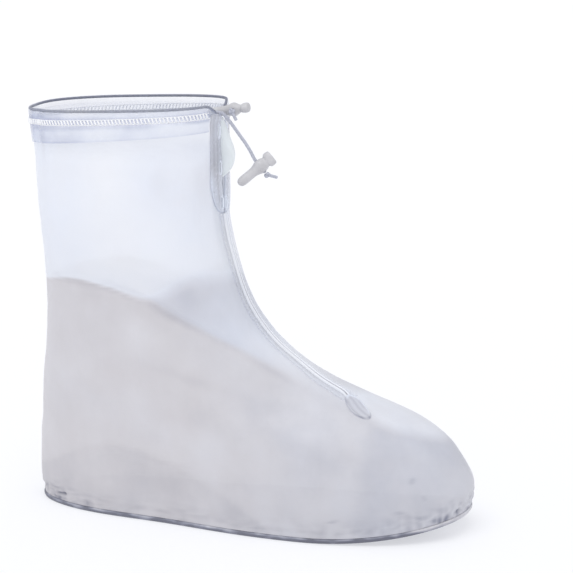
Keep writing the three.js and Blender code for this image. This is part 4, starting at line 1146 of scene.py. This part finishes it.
def front_strip(name, side):
    """A strip beside the slit: a soft plate with a round lower end and three slots."""
    verts = []
    edges = []
    for loop in strip_loops():
        start = len(verts)
        verts += [Vector(place) for place in loop]
        edges += [(start + i, start + (i + 1) % len(loop)) for i in range(len(loop))]
    border = len(verts)
    for down in np.arange(STRIP_LOOK_TOP + 0.8, STRIP_END - 0.6, STRIP_GRID):
        for across in np.arange(strip_in(down) + 0.7, strip_out(down) - 0.5, STRIP_GRID):
            if from_slot(down, across) > 0.45:
                verts.append(Vector((across, down)))
    flat, _, triangles, source, _, _ = delaunay_2d_cdt(verts, edges, [], 1, 1e-5)
    flat = np.array([tuple(v) for v in flat])
    kept = []
    for triangle in triangles:
        across, down = flat[list(triangle)].mean(axis=0)
        if from_slot(down, across) > NO_FACE and strip_in(down) - 0.01 < across < strip_out(down) + 0.05:
            kept.append(tuple(triangle))
    on_edge = np.array([any(i < border for i in ids) for ids in source])
    aside, length = flat.T
    slot_near = np.array([from_slot(down, across) for across, down in flat])
    edge_near = np.minimum(strip_out(length) - aside, aside - strip_in(length))
    rim = 0.25 * bell(edge_near, 1.0, 0.6) + 0.35 * bell(slot_near, 0.7, 0.5)
    drop = np.where(on_edge, 0.35, 0.0)
    over_hem = 0.9 * smooth((9.5 - length) / 3)
    upper = beside(length, side * aside, over_hem + SEAT + 0.5 + rim - drop)
    lower = beside(length, side * aside, over_hem + SEAT - 0.2)
    count = len(flat)
    faces = kept + [(count + c, count + b, count + a) for a, b, c in kept]
    seen = {}
    for a, b, c in kept:
        for i, j in ((a, b), (b, c), (c, a)):
            seen.setdefault(frozenset((i, j)), []).append((j, i, count + i, count + j))
    faces += [walls[0] for walls in seen.values() if len(walls) == 1]
    from_edge = strip_out(length) - aside
    high_up = smooth((47 - length) / 12)
    tone = 0.38 + 0.08 * high_up
    # By the outer edge: painted shade where the film turns, up high, and a paler edge at the lower end, a
    # painted highlight; a darker line lies further in
    tone = tone + mix(-0.10, 0.14, high_up) * bell(from_edge, 0, 0.9)
    tone = tone + 0.26 * high_up * bell(from_edge, 3.0, 2.4)
    tone = tone + 0.26 * bell(from_edge, 7.5, 1.3)
    # A pale, less clear lip round each slot: a painted highlight standing in for the light that shows
    # through the slots
    lip = bell(np.maximum(slot_near - 0.5, 0), 0, 0.6)
    tone = mix(tone, -0.05, lip)
    points = np.concatenate([upper, lower])
    return film_piece(name, points, faces, tone, mix(0.33, 0.0, lip), STRIP_WARMTH)


BEAD_LOOK = 1.9
BINDING_ROWS = 150
SINKING = 7.0


def binding(name, side):
    """A rolled bead on the slit's edge, with a flat band and the weld's fine ridge beside it."""
    inner = SLIT_SHUT / 2
    outer = inner + BEAD_WIDTH
    section = [(inner + 0.3, -0.3)]
    for angle in np.radians(np.linspace(200, 10, 15)):
        aside = inner + BEAD_LOOK / 2 * (1 + math.cos(angle))
        section.append((aside, BEAD_HEIGHT * (0.42 + 0.58 * math.sin(angle))))
    section += [
        (inner + BEAD_LOOK + 0.3, 0.75), (outer + 0.8, 0.5), (outer + 2.2, 0.36), (outer + 2.9, 0.34),
        (outer + 3.2, 0.55), (outer + 3.6, 0.55), (outer + 3.9, 0.34), (outer + BAND_WIDTH, 0.20),
    ]
    aside, high = np.array(section).T
    end = SLIT_END - PATCH_LENGTH * 0.5 + 4.0
    lengths = np.linspace(STRIP_END + GAP * 2, end, BINDING_ROWS)
    sinking = smooth((lengths - end + SINKING) / SINKING)[:, None]
    points = beside(lengths[:, None], side * aside[None, :], mix(high[None, :] + 0.05, 0.02, sinking * 0.9))
    # Painted highlights on the bead and on the weld's ridge, painted shade in the slit at the band's inner
    # edge, and the whole band paler, painted light against the shade of the layers under it
    bead = bell(aside, inner + BEAD_LOOK * 0.55, 0.8) * (high > 0.7)
    ridge = bell(aside, outer + 3.4, 0.4)
    tone = film_tone(points) - 0.22 - 0.42 * bead - 0.14 * ridge + 0.5 * bell(aside, inner, 0.35)
    clear = np.where(aside > inner + BEAD_LOOK + 0.1, 0.45, 0.0)
    clear = clear + 0.53 * smooth((aside - outer - 3.6) / 0.4)
    return film_piece(name, points, grid_faces(BINDING_ROWS, len(section)), tone, clear)


PATCH_RINGS = 20
PATCH_AROUND = 72
PATCH_SEAM = 0.985
# From the patch's middle to its edge: share of the way, share of its height
PATCH_PROFILE = [
    (0.0, 0.55), (0.25, 0.54), (0.50, 0.50), (0.68, 0.52), (0.76, 0.72), (0.84, 0.86), (0.92, 0.70),
    (0.98, 0.28), (1.0, 0.0),
]
PATCH_WARMTH = -0.7


def end_patch():
    """The oval patch at the slit's lower end: a raised rim round long soft facets."""
    shares = np.linspace(0, 1, PATCH_RINGS)
    angles = circle(PATCH_AROUND)
    aside = np.outer(shares, np.sin(angles)) * PATCH_WIDTH / 2 * PATCH_SEAM
    along = SLIT_END + np.outer(shares, np.cos(angles)) * PATCH_LENGTH / 2 * PATCH_SEAM
    facets = np.cos(aside / (PATCH_WIDTH / 2) * math.pi * 3.0)
    high = through_rows(PATCH_PROFILE)(shares)[:, None] * PATCH_WALL * np.ones(PATCH_AROUND)[None, :]
    high = high + facets * 0.10 * smooth((0.62 - shares) / 0.1)[:, None]
    points = beside(along, aside, 0.05 + high * 0.62)
    faces = grid_faces(PATCH_RINGS, PATCH_AROUND, wrap=True)
    # A painted highlight on the raised rim's lit side, and a painted shadow in a crescent at its edge on
    # the shaded side
    ring = bell(shares, 0.86, 0.09)[:, None]
    shaded = smooth(0.5 - 0.7 * np.sin(angles) + 0.5 * np.cos(angles))[None, :]
    crescent_shadow = 0.13 * bell(shares, 0.93, 0.08)[:, None] * shaded
    tone = 0.70 - 0.36 * ring * (1 - shaded) + 0.06 * facets + crescent_shadow
    return film_piece("slit_patch", points, faces, tone, 0.0, PATCH_WARMTH, merge=0.005)


# The gusset's bulge from its top down: share of its length, share of its height
BULGE = [(0.0, 0.30), (0.30, 0.72), (0.58, 1.0), (0.82, 0.72), (1.0, 0.0)]
GUSSET_ROWS = 90


def gusset():
    """The thin clear film behind the slit, bulging out between the strips."""
    behind = WALL + GAP * 2 + GUSSET_WALL / 2
    bulge = through_rows(BULGE)
    lengths = mix(GUSSET_START, GUSSET_LENGTH, np.linspace(0, 1, GUSSET_ROWS) ** 1.3)
    rows = []
    for length in lengths:
        rise = bulge((length - GUSSET_START) / GUSSET_BULGE_LENGTH) * (GUSSET_BULGE + behind)
        throat = max(SLIT_NECK, slit_half(length)) - GAP * 2 - GUSSET_WALL / 2
        clear = smooth((length - HEM_INNER_DEPTH) / (HEM_DEPTH_BACK - HEM_INNER_DEPTH))
        edge = mix(HEM_END - GAP * 2, GUSSET_WIDTH / 2, clear)
        half = [(edge, 0.0), (mix(edge, throat, 0.6), 0.0), (throat + GAP, 0.0)]
        for degrees in np.linspace(8, 80, 7):
            angle = math.radians(degrees)
            half.append((throat * math.cos(angle) ** 0.75, rise * math.sin(angle) ** 0.85))
        left = [(-a, h - behind) for a, h in half]
        right = [(a, h - behind) for a, h in half][::-1]
        rows.append(left + [(0.0, rise - behind)] + right)
    aside, high = np.moveaxis(np.array(rows), -1, 0)
    points = beside(lengths[:, None], aside, high)
    shut = smooth((lengths - GUSSET_START - GUSSET_BULGE_LENGTH) / 10)[:, None]
    inside = smooth((high + behind * 0.5) / 3)
    # The bulge keeps the palest colour, a painted highlight; painted shade darkens the middle of the gusset
    # where it is shut, and its flat parts are a little darker
    tone = 0.12 * (1 - inside) + 0.83 * shut * (1 - inside) * bell(aside, 0, 3.2)
    clear = 0.14 - 0.10 * shut + np.zeros_like(aside)
    return film_piece("gusset_film", points, grid_faces(*aside.shape), tone, clear)


free_route = OUTER_MOUTH + np.array(CORD_ROUTE)
free_route[0] = free_route[0] + unit(free_route[1] - free_route[0]) * GAP
stub_route = INNER_MOUTH + np.array(STUB_ROUTE)


def rim_line(count):
    turns, start, _ = hem_turns(count)
    return rim_point(turns, fold_down(turns, start), np.full(count, -WALL / 2))


def route_end(route):
    return route[-1], unit(route[-1] - route[-2])


# Along a toggle, from its thin end to its head: share of its length, half height, half width
TOGGLE_SHAPE = [
    (0.000, 0.22, 0.22), (0.025, 0.43, 0.43), (0.065, 0.57, 0.57), (0.120, 0.63, 0.63),
    (0.440, 0.65, 0.65), (0.540, 0.80, 0.74), (0.600, 0.93, 0.88), (0.680, 0.93, 0.88),
    (0.750, 0.84, 0.64), (0.810, 0.72, 0.50), (0.850, 0.96, 0.60), (0.930, 1.00, 0.66),
    (0.985, 0.92, 0.58), (1.000, 0.70, 0.42),
]
TOGGLE_SIDES = 56
HOLE_SIDES = 40
SHARP_ANGLE = math.radians(50)


def toggle(name, end, rough_way):
    """A moulded bar with a boss round its cross hole and an oval head."""
    last, way = end
    half = TOGGLE_WIDTH / 2
    tall = through_rows(TOGGLE_SHAPE, 1)
    wide = through_rows(TOGGLE_SHAPE, 2)
    alongs = np.concatenate([
        np.linspace(0, 0.12, 14, endpoint=False),
        np.linspace(0.12, 0.8, 40, endpoint=False),
        np.linspace(0.8, 1, 26),
    ])
    angles = circle(TOGGLE_SIDES)
    rings = []
    for share in alongs:
        x = np.cos(angles) * wide(share) * half
        z = np.sin(angles) * tall(share) * half
        rings.append(np.stack([x, np.full(TOGGLE_SIDES, share * TOGGLE_LENGTH), z], axis=1))
    rings.insert(0, rings[0] * np.array([0.45, 1, 0.45]) - np.array([0, 0.02, 0]))
    ends = [rings[0].mean(axis=0) - np.array([0, 0.1, 0]), rings[-1].mean(axis=0) + np.array([0, 0.12, 0])]
    points, faces = closed(rings, ends)
    bar_way = unit(rough_way - way * np.dot(rough_way, way))
    across = np.cross(bar_way, way)
    foot = last - way * half - bar_way * TOGGLE_HOLE_AT
    obj = new_object(name, points @ np.stack([across, bar_way, way]) + foot, faces)
    fix_normals(obj, merge=0.001)
    hole_middle = foot + bar_way * TOGGLE_HOLE_AT
    reach = way * TOGGLE_WIDTH
    cutter = tube("cutter", [hole_middle - reach, hole_middle + reach], CORD_RADIUS + GAP, HOLE_SIDES)
    modifier = obj.modifiers.new("hole", "BOOLEAN")
    modifier.operation = "DIFFERENCE"
    modifier.solver = "EXACT"
    modifier.object = cutter
    drilled = bpy.data.meshes.new_from_object(obj.evaluated_get(bpy.context.evaluated_depsgraph_get()))
    obj.modifiers.clear()
    obj.data = drilled
    drilled.polygons.foreach_set("use_smooth", [True] * len(drilled.polygons))
    bpy.data.objects.remove(cutter)
    soften = obj.modifiers.new("edges", "EDGE_SPLIT")
    soften.split_angle = SHARP_ANGLE
    return obj


KNOT_THREAD = 0.92
KNOT_FLATNESS = 0.72
LOOP_POINTS = 97
TAIL_POINTS = 26
TAIL_RADIUS = CORD_RADIUS * 0.94


def knot(name, end, tail_way):
    """A small overhand knot with a short cut tail."""
    last, way = end
    radius = KNOT_DIAMETER / 2
    centre = last + way * (GAP + radius * KNOT_SQUASH)
    tail_way = unit(tail_way)
    side = unit(np.cross(way, tail_way))
    other = np.cross(side, way)
    scale = (radius - KNOT_THREAD) / 3
    t = np.linspace(0, 2 * math.pi, LOOP_POINTS)
    loop = np.stack([np.sin(t) + 2 * np.sin(2 * t), np.cos(t) - 2 * np.cos(2 * t), -np.sin(3 * t)], axis=1)
    loop = loop * np.array([scale, scale, KNOT_THREAD * KNOT_FLATNESS])
    points = centre + loop @ np.stack([side, other, way])
    body = tube(name + "_loops", points, KNOT_THREAD, 14, braid=0.08)
    shares = np.linspace(0, 1, TAIL_POINTS)
    tail = np.array([centre + tail_way * share * KNOT_TAIL for share in shares])
    return joined(name, [body, tube(name + "_tail", tail, TAIL_RADIUS, 16, braid=0.06)])


# The elastic is a little thinner where it is drawn tight in the hem
RIM_CORD_LOOK = 0.82
RIM_CORD_SIDES = 16
RIM_ROUTE_POINTS = 220
RIM_LINE_POINTS = 900
FREE_CORD_SIDES = 20
FREE_LINE_POINTS = 150
CORD_BRAID = 0.05

# Each piece with its material, its finish and the node that it stands for
PIECES = [
    (cover_shell(), body_film, "film", ["cover_body"]),
    (sole_plate(), sole_film, "sole_film", ["sole"]),
    (top_hem(), hem_film, "film", ["top_hem"]),
    (hem_stitches(), thread_cloth, "cord", []),
    (front_strip("strip_outer_film", -1), strip_film, "strip_film", ["strip_outer"]),
    (front_strip("strip_inner_film", 1), strip_film, "strip_film", ["strip_inner"]),
    (binding("binding_outer_film", -1), trim_film, "film", ["binding_outer"]),
    (binding("binding_inner_film", 1), trim_film, "film", ["binding_inner"]),
    (end_patch(), trim_film, "film", ["end_patch"]),
    (gusset(), clear_film, "film", ["gusset"]),
]
lower_end = route_end(free_route)
upper_end = route_end(stub_route)
toggle_lower = toggle("toggle_lower_bar", lower_end, LOWER_BAR_WAY)
toggle_upper = toggle("toggle_upper_bar", upper_end, UPPER_BAR_WAY)
knot_lower = knot("knot_lower_loops", lower_end, LOWER_TAIL_WAY)
knot_upper = knot("knot_upper_loops", upper_end, UPPER_TAIL_WAY)
free_line = fine_line(free_route, FREE_LINE_POINTS)
free_cord = tube("free_cord", free_line, CORD_RADIUS, FREE_CORD_SIDES, braid=CORD_BRAID)
rim_route = np.concatenate([stub_route[::-1], rim_line(RIM_ROUTE_POINTS)])
rim_cord_line = fine_line(rim_route, RIM_LINE_POINTS)
rim_cord_radius = CORD_RADIUS * RIM_CORD_LOOK
rim_cord = tube("rim_cord", rim_cord_line, rim_cord_radius, RIM_CORD_SIDES, braid=CORD_BRAID)
PIECES += [
    (toggle_lower, moulded, "moulded", ["toggle_lower"]),
    (toggle_upper, moulded, "moulded", ["toggle_upper"]),
    (knot_lower, free_cloth, "cord", ["knot_lower"]),
    (knot_upper, free_cloth, "cord", ["knot_upper"]),
    (free_cord, free_cloth, "cord", ["draw_cord"]),
    (rim_cord, shaded_cord_cloth, "cord", ["hem_cord"]),
]
for obj, material, slot_name, nodes in PIECES:
    obj.data.materials.clear()
    obj.data.materials.append(material)
    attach(obj, "root")
    if nodes:
        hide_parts(*nodes)

free_metres = (free_line + ROW_SHIFT) * MM
cord_length = float(lengths_along(free_metres)[-1])

# The floor and the light
FLOOR_SIZE = 40.0
FLOOR_COLOUR = (0.40, 0.40, 0.405)
FLOOR_GLOW = (0.95, 0.96, 1.0, 1)
FLOOR_GLOW_STRENGTH = 0.58
WORLD_COLOUR = (0.97, 0.98, 1.0, 1)
WORLD_STRENGTH = 0.80
SUN_STRENGTH = 1.0
SUN_ANGLE = 45
SUN_TURN = -12
SUN_RISE = 68
bpy.ops.mesh.primitive_plane_add(size=FLOOR_SIZE, location=(0, 0, 0))
floor = bpy.context.object
floor.name = "floor"
floor_paint, tree, shader = plain_material("floor_paint", FLOOR_COLOUR, 0.9)
shader.inputs["Emission Color"].default_value = FLOOR_GLOW
shader.inputs["Emission Strength"].default_value = FLOOR_GLOW_STRENGTH
floor.data.materials.append(floor_paint)

world = bpy.data.worlds.new("studio")
bpy.context.scene.world = world
world.use_nodes = True
background = world.node_tree.nodes["Background"]
background.inputs["Color"].default_value = WORLD_COLOUR
background.inputs["Strength"].default_value = WORLD_STRENGTH

light = bpy.data.lights.new("key", "SUN")
light.energy = SUN_STRENGTH
light.angle = math.radians(SUN_ANGLE)
lamp = bpy.data.objects.new("key", light)
lamp.rotation_euler = way_to(SUN_TURN, SUN_RISE).to_track_quat("Z", "Y").to_euler()
bpy.context.collection.objects.link(lamp)
